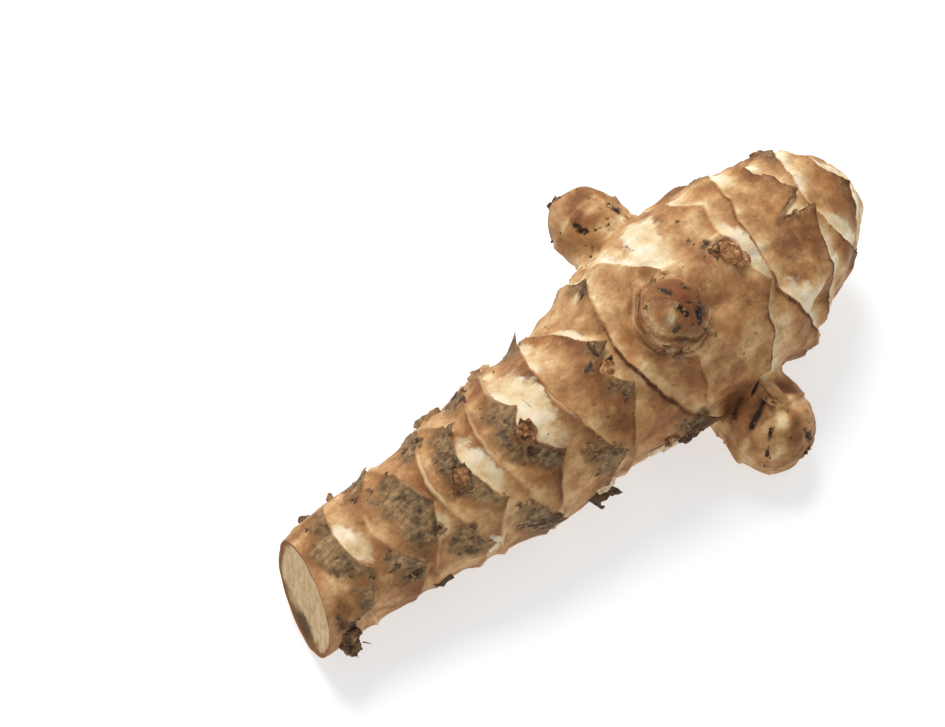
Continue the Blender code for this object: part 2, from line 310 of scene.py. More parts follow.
# %% The rings
RINGS = [
    [(-34, -44.8), (8, -46.2), (38, -44.2), (75, -47.4), (190, -43.5), (300, -48.5)],
    [(-60, -35.0), (10, -41.0), (60, -36.4), (185, -41.0)],
    [(18, -31.2), (100, -35.5), (195, -31.0), (290, -35.0)],
    [(-50, -25.5), (12, -29.8), (77, -26.8), (190, -30.0)],
    [(-20, -22.2), (10, -24.2), (48, -21.4), (95, -25.0), (190, -21.0), (285, -25.0)],
    [(-55, -15.8), (15, -19.6), (94, -16.0), (190, -19.5)],
    [(-42, -13.2), (-18, -14.6), (0, -13.4), (18, -14.9), (42, -12.0), (110, -16.2), (200, -12.2),
     (270, -15.6)],
    [(-61, -4.4), (12, -8.3), (71, -3.8), (190, -8.4)],
    [(5, 3.0), (15, 0.3), (34, 2.2), (100, -2.2), (195, 2.0), (285, -2.6)],
    [(-36, 10.0), (22, 4.6), (96, 10.2), (195, 4.8)],
    [(-2, 16.2), (100, 11.3), (190, 17.0), (280, 12.2)],
    [(-19, 28.4), (11, 25.8), (38, 27.6), (110, 23.6), (190, 27.6), (285, 24.2)],
    [(-38, 34.8), (30, 29.2), (90, 33.0), (190, 29.6)],
    [(9, 42.2), (16, 36.0), (22, 42.0), (100, 37.4), (195, 41.8), (280, 38.4)],
    [(-30, 48.6), (28, 43.0), (82, 47.6), (190, 43.6)],
    [(29, 53.4), (110, 49.2), (205, 52.6), (300, 48.8)],
]
# How tall each ring's step is: low where the old skin is stretched tight, high on the thick part.
STEPS = [0.55, 0.30, 0.45, 0.30, 0.50, 0.40, 0.75, 0.75, 0.80, 1.00, 0.80, 0.85, 0.90, 1.00, 0.85, 0.80]
# Ring, middle angle and half width where an edge has nearly grown into the skin.
FADED = [(12, -19, 36), (13, -38, 32)]
LEAF_POINT = 1.6
RING_APART = 1.1
EDGE_WANDER = 0.90
EDGE_WAVE = 0.40
EDGE_FRAY = 0.22
TURN_TABLE = np.linspace(0, 2 * math.pi, 1081)


def round_noise(angle, size, seed):
    """Noise round the stem, from -1 to 1, whose lumps are size mm long. It closes on itself."""
    reach = 13.0 / size
    table = [noise.noise(Vector((math.cos(a) * reach, math.sin(a) * reach, seed * 4.7))) for a in TURN_TABLE]
    return np.interp(np.mod(angle, 2 * math.pi), TURN_TABLE, table)


def turn_between(angle, degrees):
    """Signed angle from a direction given in degrees."""
    return np.mod(angle - math.radians(degrees) + math.pi, 2 * math.pi) - math.pi


def arc(angle, middle, half):
    """1 in the middle of a span of angles and 0 past its half width, both given in degrees."""
    offset = np.degrees(turn_between(angle, middle))
    return np.clip(1.3 - 1.3 * np.abs(offset) / half, 0, 1)


def more_at_tip(tip):
    """A third in a valley between two tips, all of it at a tip."""
    return 0.35 + 0.65 * tip


def ring_fade(number, angle):
    """1 where a ring's edge stands clear, near 0 where it has grown into the skin."""
    fade = np.ones_like(angle)
    for ring, middle, half in FADED:
        if ring == number:
            fade -= 0.8 * arc(angle, middle, half)
    return fade


def ring_line(points, angle):
    """One ring's x at every angle, and how near a leaf tip that is, from 0 in a valley to 1."""
    turned = np.radians([a for a, x in points])
    x = np.array([x for a, x in points] + [points[0][1]], float)
    start = np.append(np.mod(turned - turned[0], 2 * math.pi), 2 * math.pi)
    turn = np.mod(angle - turned[0], 2 * math.pi)
    i = np.clip(np.searchsorted(start, turn, side="right") - 1, 0, len(points) - 1)
    u = (turn - start[i]) / (start[i + 1] - start[i])
    at_tip = i % 2 == 0
    from_tip = np.where(at_tip, u, 1 - u)
    tip = np.where(at_tip, x[i], x[i + 1])
    valley = np.where(at_tip, x[i + 1], x[i])
    return tip + (valley - tip) * (1 - (1 - from_tip) ** LEAF_POINT), (1 - from_tip) ** 1.5


def ring_lines(angle):
    """At every angle, each ring's x, its nearness to a tip and the height of its step."""
    lines = []
    tips = []
    steps = []
    for number, points in enumerate(RINGS, start=1):
        line, tip = ring_line(points, angle)
        loose = min(max((points[0][1] + 12) / 16, 0.35), 1.0)
        line += loose * EDGE_WANDER * round_noise(angle, 6.0, number)
        line += loose * EDGE_WAVE * round_noise(angle, 3.0, number + 200)
        line += EDGE_FRAY * round_noise(angle, 1.7, number + 40)
        uneven = np.clip(1 + 1.3 * round_noise(angle, 9.0, number + 80), 0.15, 1.8)
        fade = ring_fade(number, angle)
        lines.append(line)
        tips.append(tip * fade)
        steps.append(STEPS[number - 1] * more_at_tip(tip) * uneven * fade)
    for before, after in zip(lines, lines[1:]):
        np.maximum(after, before + RING_APART, out=after)
    return np.array(lines), np.array(tips), np.array(steps)


print(len(RINGS), "rings with", sum(len(points) // 2 for points in RINGS), "tips")

# %% [markdown]
# ## Where a point lies among the rings
#
# Relief and colour both depend on the same two distances: how far a point is past the last
# scale edge, and how far short of the next one. Working them out once and keeping them lets the shape
# and the shader agree to a hair. A knob has rings of its own, and its share grows from 0 on the
# body to 1 on the knob.

# %% Distances to the scale edges
KNOB_SWAY = 0.8


def vertex_arrays(mesh):
    """A mesh's points in mm and its normals."""
    points = np.zeros(len(mesh.vertices) * 3)
    normals = np.zeros(len(mesh.vertices) * 3)
    mesh.vertices.foreach_get("co", points)
    mesh.vertex_normals.foreach_get("vector", normals)
    return points.reshape(-1, 3) / MM, normals.reshape(-1, 3)


def slow_noise(points, size, seed=0):
    """Smooth noise from -1 to 1 whose lumps are about size mm across."""
    shift = Vector((seed * 7.3, seed * 3.1, seed * 5.7))
    return np.array([noise.noise(Vector(p / size) + shift) for p in points])


def knob_share(knob, points):
    """Past and ahead distances on a knob, and how much each point belongs to it."""
    foot, along, across, over, reach = knob_frame(knob)
    out = points - foot
    s = out @ along
    radial = out - s[:, None] * along
    angle = np.arctan2(radial @ over, radial @ across)
    sway = slow_noise(points, 4.0, 6)
    edges = [np.full(len(points), -99.0)]
    for i, ring in enumerate(knob["rings"]):
        turn = np.cos(2 * angle + math.radians(knob["turn"]) + i * math.pi)
        edges.append(reach + ring + KNOB_SWAY * (0.5 * turn + sway))
    edges.append(np.full(len(points), reach + knob["r"] + 3.0))
    edges = np.array(edges)
    each = np.arange(len(points))
    k = np.clip(np.sum(edges <= s, axis=0) - 1, 0, len(edges) - 2)
    inside = np.clip((knob["r"] * 1.35 - np.linalg.norm(radial, axis=1)) / (knob["r"] * 0.35), 0, 1)
    beyond = np.clip((s - (reach + knob["rings"][0] - 1.5)) / 1.5, 0, 1)
    return np.maximum(s - edges[k, each], 0), np.maximum(edges[k + 1, each] - s, 0), inside * beyond


def ring_places(x, angle):
    """What each point knows of its rings: the last ring's number, the distances, tips and steps."""
    lines, tips, steps = ring_lines(angle)
    edge = np.zeros((1, len(x)))
    lines = np.vstack([edge + GIRTH[0][0] - 4.0, lines, edge + GIRTH[-1][0] + 3.0])
    tips = np.vstack([edge, tips, edge])
    steps = np.vstack([edge, steps, edge])
    each = np.arange(len(x))
    k = np.clip(np.sum(lines <= x, axis=0) - 1, 0, len(lines) - 2)
    return {
        "ring": k,
        "past": np.maximum(x - lines[k, each], 0),
        "ahead": np.maximum(lines[k + 1, each] - x, 0),
        "tip_behind": tips[k, each],
        "tip_ahead": tips[k + 1, each],
        "step_behind": steps[k, each],
        "step_ahead": steps[k + 1, each],
    }


points, normals = vertex_arrays(skin.data)
x, angle = body_places(points)
places = ring_places(x, angle)
print("mean distance past an edge", round(float(places["past"].mean()), 2), "mm")

# %% [markdown]
# ## What happened to the skin where
#
# Young skin just past an edge is cream; it ages to brown towards the next edge and most of all at a tip.
# Paper-dry scales turn grey-brown behind their tips. Where a scale has torn off, the skin under it
# shows cream. Soil clings in the folds. Each of these will be kept on the mesh as a number from 0 to 1,
# so that the shader can give it a ragged edge finer than the mesh. First come the places: a patch is
# named by its ring, the angles that it spans and how deep it reaches.

# %% Patches of dry scale, torn skin and soil
# Ring in front of the patch, middle angle, half width in degrees, depth in mm, strength.
DRY = [
    (1, 6, 52, 5.5, 0.95), (1, 62, 20, 4.0, 0.8), (1, 190, 30, 4.5, 0.8), (2, -55, 34, 5.0, 0.75),
    (2, 56, 30, 6.0, 0.9), (3, 13, 52, 8.0, 1.0), (3, 195, 30, 5.0, 0.9), (4, -48, 34, 5.0, 0.85),
    (4, 66, 22, 6.0, 1.0), (5, -2, 36, 5.0, 1.0), (5, 34, 24, 4.0, 0.9), (5, 190, 26, 4.5, 0.8),
    (6, -52, 30, 5.0, 0.8), (6, 88, 32, 6.5, 1.0), (7, 4, 34, 5.0, 0.85), (7, 34, 22, 5.0, 1.0),
    (7, 200, 28, 4.5, 0.8), (8, -54, 22, 4.5, 0.6), (8, 70, 24, 5.5, 0.85), (9, 6, 14, 4.0, 0.8),
    (9, 32, 14, 4.0, 0.6), (9, 195, 22, 4.0, 0.6), (10, -36, 14, 3.2, 0.6), (10, 94, 20, 6.0, 0.9),
    (11, -1, 10, 2.2, 0.35), (11, 190, 16, 3.5, 0.5), (12, 11, 12, 3.0, 0.8), (12, 190, 16, 3.0, 0.4),
    (13, -45, 12, 2.5, 0.4), (14, 14, 16, 2.0, 0.45), (15, 80, 12, 2.0, 0.6), (15, -28, 14, 2.6, 0.7),
    (16, 29, 12, 2.0, 0.5),
]
# Ring behind the patch, first and last angle, depth in mm.
TORN = [
    (1, -22, 34, 4.8), (4, 70, 98, 3.2), (5, -12, 44, 5.0), (7, -40, 40, 8.0), (8, -62, -8, 3.0),
    (9, -40, 4, 2.4), (12, -6, 42, 4.6), (13, 44, 84, 4.6), (14, 13, 19, 6.0), (15, 30, 80, 5.0),
    (16, -24, 26, 4.5), (3, 170, 215, 2.5), (6, 160, 200, 3.0), (10, 170, 220, 3.0), (12, 150, 200, 3.5),
    (14, 210, 260, 3.5),
]
# Middle angle, x, half length and half width in mm, strength.
SOIL = [
    (35, 11.5, 1.8, 2.2, 0.7), (96, 7.6, 2.6, 2.6, 0.9), (62, 21.0, 4.0, 1.6, 0.5),
    (69, -52.4, 1.5, 3.2, 0.85), (84, -51.4, 1.7, 2.6, 1.0), (66, -38.5, 1.6, 0.7, 1.0),
    (30, -15.0, 1.2, 2.0, 0.7), (19, -13.5, 1.0, 1.6, 0.6), (24, -27.4, 1.5, 1.8, 0.6),
    (-70, 14.0, 2.5, 2.0, 0.5), (1, 24.2, 1.3, 1.6, 0.8), (-22, 24.3, 0.5, 0.8, 0.8),
    (-8, 23.2, 0.4, 0.4, 0.9), (-17, 27.6, 0.6, 0.8, 0.7), (180, 0.0, 40.0, 6.0, 0.25),
    (40, -32.4, 1.2, 2.4, 0.8),
]
print(len(DRY), "dry patches,", len(TORN), "torn places and", len(SOIL), "places with soil")

# %% [markdown]
# ## Swellings and hollows
#
# A bud lifts the scale over it, and a sleeping knob does so over a broader place. Where the stem was
# pinched while it grew, it stays hollow. Both are soft bumps, named by where they lie on the body.

# %% Swellings and hollows
# Angle, x, radius across and height of each bud's swelling. The first few also redden the skin.
BUDS = [
    (14, -25.2, 1.9, 0.7), (18, -14.6, 1.7, 0.7), (14, 0.6, 1.9, 0.9), (11, 26.0, 2.2, 0.9),
    (-66, -21.8, 1.8, 0.8), (-66, -10.6, 1.8, 0.9), (200, -14.5, 2.0, 0.9), (195, 0.0, 2.0, 0.9),
    (92, 6.0, 2.0, 0.7), (8, -45.6, 1.6, 0.5), (80, -29.0, 1.8, 0.8), (190, 38.5, 2.2, 0.9),
    (-72, 27.0, 4.0, 1.2), (-70, 2.0, 3.0, 0.9), (90, 30.0, 1.9, 0.7),
    (29, 50.6, 1.8, 0.5), (190, -24.0, 1.9, 0.8),
]
# The same for other swellings, and for hollows where the height is below 0.
BULGES = [
    (-62, 31.5, 2.8, 1.2), (-66, 8.0, 5.0, 0.6), (98, -47.6, 3.6, -1.8), (82, 35.3, 3.0, -1.3),
    (80, 46.8, 2.4, -0.6), (-64, -3.0, 3.0, 0.4),
]
print(len(BUDS), "buds lift their scales;", sum(high < 0 for *_, high in BULGES), "places are hollow")

# %% [markdown]
# ## Marks on the knobs
#
# A knob is young, so its own scales are only slits and crusts, and its skin is blotched by where it
# pushed through the old leaves. A mark there is a short line in space with a half width: a
# point belongs to it by its distance from the line.

# %% Marks on the knobs
# Ends in mm, half width, strength of dark slashes and crusts on the knobs.
SLASHES = [
    # The near knob: its leaf edges are short slits, and its crown has a grey crust.
    ((20.6, -19.3, 14.5), (18.6, -20.2, 13.7), 0.60, 0.95),
    ((18.6, -20.2, 13.7), (16.8, -20.8, 12.2), 0.75, 1.05),
    ((22.3, -16.5, 15.0), (19.8, -17.4, 14.6), 0.45, 1.00),
    ((18.5, -23.2, 12.7), (16.6, -24.8, 8.5), 0.55, 1.05),
    ((20.3, -14.8, 15.1), (16.2, -17.7, 12.0), 1.10, 0.78),
    ((23.0, -26.2, 11.2), (23.4, -27.1, 9.0), 1.40, 0.82),
    ((24.9, -18.7, 14.1), (25.3, -19.2, 13.9), 0.35, 0.80),
    # The far knob.
    ((15.7, 19.5, 23.6), (16.0, 18.9, 23.7), 0.80, 0.92),
    ((15.8, 18.2, 23.3), (16.4, 17.5, 23.5), 0.75, 0.98),
    ((22.3, 18.4, 24.3), (22.7, 17.2, 23.8), 1.15, 0.90),
    ((20.0, 18.7, 24.9), (20.6, 18.4, 24.9), 0.40, 0.80),
    ((20.3, 21.2, 25.2), (20.9, 20.8, 25.2), 0.40, 0.85),
    ((17.2, 25.2, 22.3), (18.1, 25.1, 23.1), 0.30, 0.95),
    ((19.0, 25.4, 23.0), (19.4, 24.2, 24.1), 0.28, 0.90),
    ((19.6, 15.8, 24.0), (17.5, 16.6, 23.8), 0.30, 1.00),
    ((14.8, 24.2, 18.5), (14.1, 21.6, 16.9), 0.60, 0.95),
    # The saddle between the far knob and the crown.
    ((19.0, 15.2, 23.8), (19.9, 13.8, 24.6), 0.45, 0.90), ((16.6, 9.0, 28.7), (16.4, 7.4, 29.6), 0.50, 0.80),
    # The top knob: crusts on its dark side and at its foot.
    ((12.3, -3.3, 34.2), (12.8, -4.8, 34.5), 1.00, 0.90),
    ((12.5, -7.5, 34.0), (12.8, -8.7, 33.5), 0.80, 1.10),
    ((15.1, -9.0, 32.7), (14.8, -10.3, 31.6), 1.10, 1.15),
    ((16.6, -7.9, 32.4), (15.4, -8.9, 32.6), 0.60, 1.00),
    ((13.6, -7.3, 34.2), (14.5, -7.6, 34.0), 0.55, 0.92),
    ((15.2, -5.2, 34.1), (16.4, -5.6, 33.6), 0.85, 0.72),
    ((16.9, -3.4, 32.8), (16.3, -2.3, 32.4), 0.45, 0.80),
    ((8.8, -9.0, 29.0), (11.2, -10.2, 28.0), 0.85, 0.80),
    ((9.9, -8.9, 32.2), (11.0, -9.6, 32.0), 0.26, 0.70),
]
# The same for the saddle beside the far knob, which lost its scale and shows cream.
BARE = [((20.6, 11.0, 27.8), (17.6, 5.4, 30.6), 2.8, 1.15)]
# The same for skin on the knobs that stayed paler, above 0, or grew darker.
TINTS = [
    ((11.4, -6.4, 34.1), (10.3, -7.8, 33.2), 0.9, 0.36),
    ((12.8, -5.8, 34.6), (12.0, -7.2, 34.2), 0.5, 0.30),
    ((14.0, -4.6, 34.6), (15.0, -8.8, 33.2), 1.9, -0.42), ((9.2, -3.4, 32.2), (8.9, -6.4, 31.8), 0.8, 0.20),
    ((22.9, -22.5, 14.0), (21.3, -26.0, 11.2), 1.2, -0.24),
    ((24.5, -18.8, 14.2), (25.9, -20.2, 13.3), 0.9, -0.28),
    ((20.3, -14.8, 15.1), (16.2, -17.7, 12.0), 1.7, -0.42),
    ((16.1, -21.7, 11.0), (16.0, -22.6, 8.6), 1.0, -0.18),
    ((20.0, -18.8, 14.5), (17.0, -20.2, 12.8), 1.2, -0.30),
    ((22.4, -20.7, 14.2), (24.6, -21.3, 13.8), 1.10, 0.26),
    ((21.1, -23.3, 13.6), (17.7, -25.8, 8.6), 1.1, 0.34),
    ((23.7, -23.4, 13.4), (24.3, -23.8, 13.2), 0.9, 0.22),
    ((15.2, -21.5, 9.6), (15.4, -21.8, 8.8), 0.9, 0.18),
    ((17.1, 19.7, 24.6), (18.5, 18.6, 24.5), 1.3, -0.24),
    ((17.4, 22.4, 24.0), (19.8, 22.6, 24.6), 1.3, -0.14),
    ((15.0, 21.0, 23.0), (14.3, 19.7, 21.8), 1.0, 0.32),
    ((21.5, 19.6, 25.0), (18.4, 19.4, 25.0), 0.9, 0.30),
    ((22.2, 15.6, 23.5), (16.8, 17.2, 23.6), 0.6, 0.34),
    ((19.0, 25.2, 23.4), (19.6, 24.4, 24.2), 0.6, 0.28),
    ((22.0, 21.9, 24.8), (21.4, 21.2, 25.1), 0.5, 0.35), ((9.2, -4.6, 32.9), (10.4, -7.6, 33.0), 0.9, 0.22),
    ((10.4, -3.4, 33.4), (10.8, -5.6, 34.0), 0.9, -0.20), ((8.0, -4.3, 31.2), (8.6, -8.3, 30.0), 1.1, 0.20),
]
print(len(SLASHES), "dark marks and", len(TINTS), "soft tints")

# %% [markdown]
# ## Grooves and tones
#
# Along some scale edges lies a dark line, partly soil and partly painted shade in the crease. Between
# the edges the bark's tone is uneven, with some patches paler and some darker: partly its own tone and
# partly painted light and shade.

# %% Grooves and tones
# Ring, first and last angle, strength of the dark line along its edge, partly soil and partly painted shade.
GROOVES_OF_SOIL_AND_SHADE = [
    (8, 14, 74, 0.7), (9, 34, 80, 0.6), (10, -20, 104, 1.0), (11, 30, 90, 0.6), (12, 36, 112, 0.9),
    (13, 36, 96, 0.9), (14, 18, 100, 0.9), (15, 34, 92, 0.8), (16, 10, 60, 0.7), (13, -60, -20, 0.6),
    (12, 170, 230, 0.7), (14, 170, 220, 0.7), (10, 150, 210, 0.6), (15, 180, 240, 0.7),
]
# Where the bark is paler, above 0, or darker, partly its own tone and partly painted light and shade: angle,
# x, half size round and along in mm, amount.
TONES_AND_PAINTED_LIGHT = [
    # The thin end, in front.
    (27, -50.4, 3.0, 2.0, 0.14), (52, -51.0, 1.8, 1.0, -0.40), (50, -49.8, 3.5, 2.2, 0.18),
    (66, -49.0, 2.6, 1.4, -0.16), (-32, -51.0, 2.6, 1.6, 0.16), (69, -43.5, 2.2, 2.0, -0.18),
    (-7, -42.0, 2.4, 2.0, 0.20), (-62, -41.6, 2.6, 2.0, -0.18), (19, -37.0, 2.4, 2.0, -0.14),
    (-62, -37.0, 2.4, 2.0, 0.18), (67, -37.0, 2.6, 2.0, 0.22), (80, -32.6, 2.0, 1.8, -0.22),
    (34, -31.0, 2.4, 2.2, 0.46), (81, -29.0, 2.4, 1.8, 0.22), (104, -23.8, 3.0, 2.0, -0.18),
    (-44, -25.2, 4.0, 2.5, 0.16), (38, -23.4, 2.8, 2.2, 0.20),
    # The middle, in front.
    (-61, -17.5, 2.6, 2.0, 0.18), (-28, -14.4, 2.8, 2.2, -0.26), (-38, -10.2, 2.4, 2.0, -0.16),
    (70, -11.2, 2.8, 2.2, -0.20), (-5, -9.0, 3.0, 2.0, -0.26), (28, -6.2, 2.6, 1.8, -0.12),
    (86, -5.4, 2.8, 2.2, 0.26), (16, -2.0, 3.0, 2.0, -0.15), (40, -3.0, 3.5, 2.4, -0.22),
    (81, 0.4, 2.4, 1.8, -0.18), (-2, 2.4, 2.6, 1.8, 0.16), (19, 2.2, 3.4, 2.6, 0.24),
    (-25, 1.8, 2.6, 2.0, -0.18), (68, 3.4, 3.5, 2.2, -0.25), (-4, 5.2, 3.0, 2.0, 0.16),
    (5, 7.4, 3.0, 1.6, -0.13), (-35, 8.6, 3.8, 2.8, 0.34), (-51, 10.2, 3.0, 2.2, 0.24),
    (90, 10.2, 3.0, 2.2, 0.32), (49, 12.0, 2.2, 2.0, -0.14),
    # Round the top knob.
    (-30, 14.6, 6.0, 1.6, 0.26), (-11, 16.5, 2.6, 2.0, 0.20), (-28, 18.3, 2.2, 1.8, -0.14),
    (36, 20.0, 2.0, 2.0, -0.12), (72, 21.8, 2.6, 2.0, 0.16), (8, 22.5, 3.0, 2.0, -0.28),
    (-13, 23.0, 3.6, 2.6, 0.16), (42, 23.0, 2.0, 2.0, -0.16), (55, 24.0, 3.5, 2.6, 0.13),
    (-9, 26.0, 4.0, 2.2, 0.32), (7, 25.6, 2.4, 1.8, 0.20), (28, 27.2, 3.8, 2.2, 0.34),
    (80, 27.0, 2.4, 2.0, -0.18), (12, 28.6, 2.6, 1.8, -0.26),
    # The crown.
    (6, 31.5, 4.5, 3.0, -0.24), (-22, 30.5, 2.8, 1.8, -0.10), (-13, 32.0, 2.6, 2.0, 0.20),
    (58, 32.9, 2.6, 2.2, -0.34), (85, 32.0, 3.0, 2.2, 0.26), (29, 34.2, 2.2, 2.0, -0.10),
    (94, 34.0, 3.0, 2.0, 0.20), (-9, 34.8, 3.0, 2.0, -0.22), (70, 35.0, 2.6, 2.0, 0.22),
    (-6, 37.4, 3.5, 2.2, 0.16), (8, 41.2, 3.6, 2.4, 0.32), (59, 42.6, 2.6, 2.0, -0.16),
    (24, 44.8, 2.6, 2.2, -0.32), (41, 46.5, 3.0, 2.0, -0.28), (7, 47.2, 2.6, 1.6, -0.15),
    (36, 48.6, 2.4, 2.0, -0.12), (0, 53.0, 3.0, 1.4, 0.24), (8, 55.6, 3.0, 2.0, 0.20),
    (26, 54.0, 2.6, 1.4, 0.20),
    # The back.
    (170, 22.0, 5.0, 2.6, 0.30), (200, 36.0, 4.0, 2.6, 0.20), (150, 30.0, 4.0, 2.4, -0.12),
    (190, -8.0, 3.0, 2.0, 0.20), (210, -34.0, 3.0, 2.0, 0.20), (160, 46.0, 3.0, 2.0, -0.15),
]
print(len(GROOVES_OF_SOIL_AND_SHADE), "dark edges and", len(TONES_AND_PAINTED_LIGHT), "places of another tone")

# %% [markdown]
# ## From tables to numbers
#
# Every table above now turns into numbers between 0 and 1 on each point. Two marks of one kind
# don't add up: the stronger one counts. Only the tones add up, since they shift the bark's age both ways.

# %% Numbers for the shader
# How much each ring's skin has aged behind its next edge, and how cream it is past its last one,
# from the tight old end to the crown.
OLD_SHARES = [0.4, 1.0, 1.0, 1.0, 1.0, 1.0, 1.0, 1.0, 1.0, 1.0, 0.8, 0.55, 0.85, 1.0, 1.0, 1.0, 1.0]
YOUNG_SHARES = [
    0.0, 0.10, 0.12, 0.15, 0.20, 0.22, 0.26, 0.50, 0.45, 0.45, 0.35, 0.55, 0.85, 1.0, 1.0, 1.0, 0.9,
]
YOUNG_REACH = 5.0
OLD_REACH = 4.2
EDGE_SOFT = 0.55
EDGE_BLEED = 0.25
EDGE_BAND = 1.2
GROOVE_WIDTH = 0.8
CORD_WIDTH = 0.42
REDDENED = 4
# The x where the skin begins to be drawn tight, and the length over which it gets so.
TIGHT_FROM = 2.0
TIGHT_OVER = 14.0
FOLD_SIZE = 5.5
BUD_BLUSH = 1.9
# The side of the top knob that is made darker, as a line in mm.
DARK_SIDE = ((13.6, -6.6, 34.0), (15.6, -8.6, 32.0))


def fold_noise(points):
    """Soft folds drawn out along the stem, from -1 in a hollow to 1 on a ridge."""
    drawn = points * (0.55, 1.0, 1.0)
    return slow_noise(drawn, FOLD_SIZE, 2) + 0.35 * slow_noise(drawn, FOLD_SIZE / 2.1, 12)


def depth_fade(distance, depth):
    return np.clip(1.5 * (1 - distance / depth), 0, 1)


def segment_distance(points, start, end):
    """Distance in mm from each point to the line from start to end."""
    start = np.array(start, float)
    line = np.array(end, float) - start
    share = np.clip((points - start) @ line / (line @ line), 0, 1)
    return np.linalg.norm(points - start - share[:, None] * line, axis=1)


def near_line(points, start, end, half):
    """1 on a line, fading out over its half width in mm."""
    return np.exp(-(segment_distance(points, start, end) / half) ** 2)


def soft_spot(x, angle, r, degrees, spot_x, across, along):
    """1 in the middle of a spot on the body, fading out over its half sizes round and along the stem."""
    away = turn_between(angle, degrees) * r
    return np.exp(-((x - spot_x) / along) ** 2 - (away / across) ** 2)


def knob_marks(name, knob, points):
    """Every number on a knob that differs from the body's, and how much each point belongs to it."""
    past, ahead, share = knob_share(knob, points)
    near = np.minimum(past, ahead)
    crown = np.clip((points - np.array(knob["centre"])) @ knob_frame(knob)[1] / knob["r"] - 0.1, 0, 1)
    marks = {
        "young": 0.5 * np.clip(1 - past / 3.5, 0, 1) * np.clip(past / EDGE_SOFT, 0, 1),
        "old": 0.15 + 0.25 * crown, "dry": 0.18 * crown, "soil": 0.1,
        # On a knob, edge and side place the painted shadow along its ring edges, and groove is a dark line
        # there, partly soil and partly painted shade.
        "edge": 0.8 * np.clip(1 - near / 0.8, 0, 1), "groove_soil_and_shade": 0.2 * np.clip(1 - near / 0.7, 0, 1),
        "side": np.where(ahead < past, 1.0, 0.0), "torn": 0.0, "cord": 0.0, "bud": 0.0,
    }
    if name == "top":
        dark = np.exp(-segment_distance(points, *DARK_SIDE) ** 2 / 7.0)
        marks.update({"bud": 0.46 + 0.26 * dark, "old": 0.50 + 0.6 * dark, "dry": 0.22})
        # Round the top knob that dark line, partly soil and partly painted shade, is stronger.
        marks["groove_soil_and_shade"] *= 2.8
        marks["cord"] = 0.8 * np.exp(-((past - 0.45) / 0.25) ** 2)
    return marks, share


def skin_marks(points, x, angle, places):
    """Every number that the skin's shader reads, for points in mm."""
    ring, past, ahead = places["ring"], places["past"], places["ahead"]
    near = np.minimum(past, ahead)
    closer_ahead = ahead < past
    beyond = np.clip(past / EDGE_SOFT, 0, 1)
    bleed = np.exp(-past / EDGE_BLEED)
    tight = np.clip((TIGHT_FROM - x) / TIGHT_OVER, 0, 1)
    r = smooth_through(GIRTH, x)[:, 0]
    marks = {name: np.zeros(len(x)) for name in ("dry", "torn", "soil", "bud", "slit", "tone")}

    def lay(name, values):
        marks[name] = np.maximum(marks[name], values)

    for number, middle, half, depth, strength in DRY:
        patch = depth_fade(ahead, depth) * (ring == number - 1) + bleed * (ring == number)
        lay("dry", patch * strength * arc(angle, middle, half))
    for number, first, last, depth in TORN:
        patch = arc(angle, (first + last) / 2, (last - first) / 1.6)
        lay("torn", patch * depth_fade(past, depth) * (ring == number) * beyond)
    for middle, soil_x, along, across, strength in SOIL:
        lay("soil", strength * soft_spot(x, angle, r, middle, soil_x, across, along))
    # Tones add up. They hold the bark's own paler and darker patches, and painted light and shade.
    for middle, tone_x, across, along, amount in TONES_AND_PAINTED_LIGHT:
        marks["tone"] += amount * soft_spot(x, angle, r, middle, tone_x, across, along)
    for turned, bud_x, across, high in BUDS[:REDDENED]:
        lay("bud", soft_spot(x, angle, r, turned, bud_x, BUD_BLUSH, BUD_BLUSH))
    ageing = np.clip(1 - ahead / OLD_REACH, 0, 1) * more_at_tip(places["tip_ahead"])
    marks["old"] = np.maximum(ageing, bleed * more_at_tip(places["tip_behind"])) * np.array(OLD_SHARES)[ring]
    marks["young"] = np.clip(1.15 - past / YOUNG_REACH, 0, 1) * beyond * np.array(YOUNG_SHARES)[ring]
    marks["edge"] = np.clip(1 - near / EDGE_BAND, 0, 1)
    # Dark lines along some edges: partly soil, partly painted shade in the crease.
    marks["groove_soil_and_shade"] = np.zeros(len(x))
    for number, first, last, strength in GROOVES_OF_SOIL_AND_SHADE:
        line = arc(angle, (first + last) / 2, (last - first) / 1.5) * np.clip(1 - near / GROOVE_WIDTH, 0, 1)
        lay("groove_soil_and_shade", line * strength * np.where(closer_ahead, ring == number - 1, ring == number))
    step = np.where(closer_ahead, places["step_ahead"], places["step_behind"])
    # Which side of the nearest edge a point lies on, scaled by the step's height. This places the painted
    # shadow just short of an edge, darker under a tall step.
    marks["side"] = np.clip(0.5 + 0.5 * np.where(closer_ahead, ahead, -past) / 0.35, 0, 1)
    marks["side"] *= np.clip(step / 0.5, 0.2, 1)
    comes_and_goes = np.clip(0.75 + 1.5 * slow_noise(points, 7.0, 15), 0, 1)
    marks["cord"] = tight * comes_and_goes * np.exp(-(near / CORD_WIDTH) ** 2)
    # The folds' height. The shader also uses it to paint ridges lighter and hollows darker: painted light and
    # shade.
    marks["fold"] = fold_noise(points)
    for name, knob in KNOBS.items():
        on_knob, share = knob_marks(name, knob, points)
        for mark_name, value in on_knob.items():
            marks[mark_name] = marks[mark_name] * (1 - share) + value * share
    for table, mark_name in ((SLASHES, "slit"), (BARE, "torn")):
        for start, end, half, strength in table:
            lay(mark_name, strength * near_line(points, start, end, half))
    lay("soil", 0.8 * marks["slit"])
    for start, end, half, amount in TINTS:
        marks["tone"] += amount * near_line(points, start, end, half)
    return marks


def keep_marks(mesh, marks):
    """Writes each number onto the mesh as a named point attribute."""
    for name, values in marks.items():
        layer = mesh.attributes.new(name, "FLOAT", "POINT")
        layer.data.foreach_set("value", values.astype(np.float32))


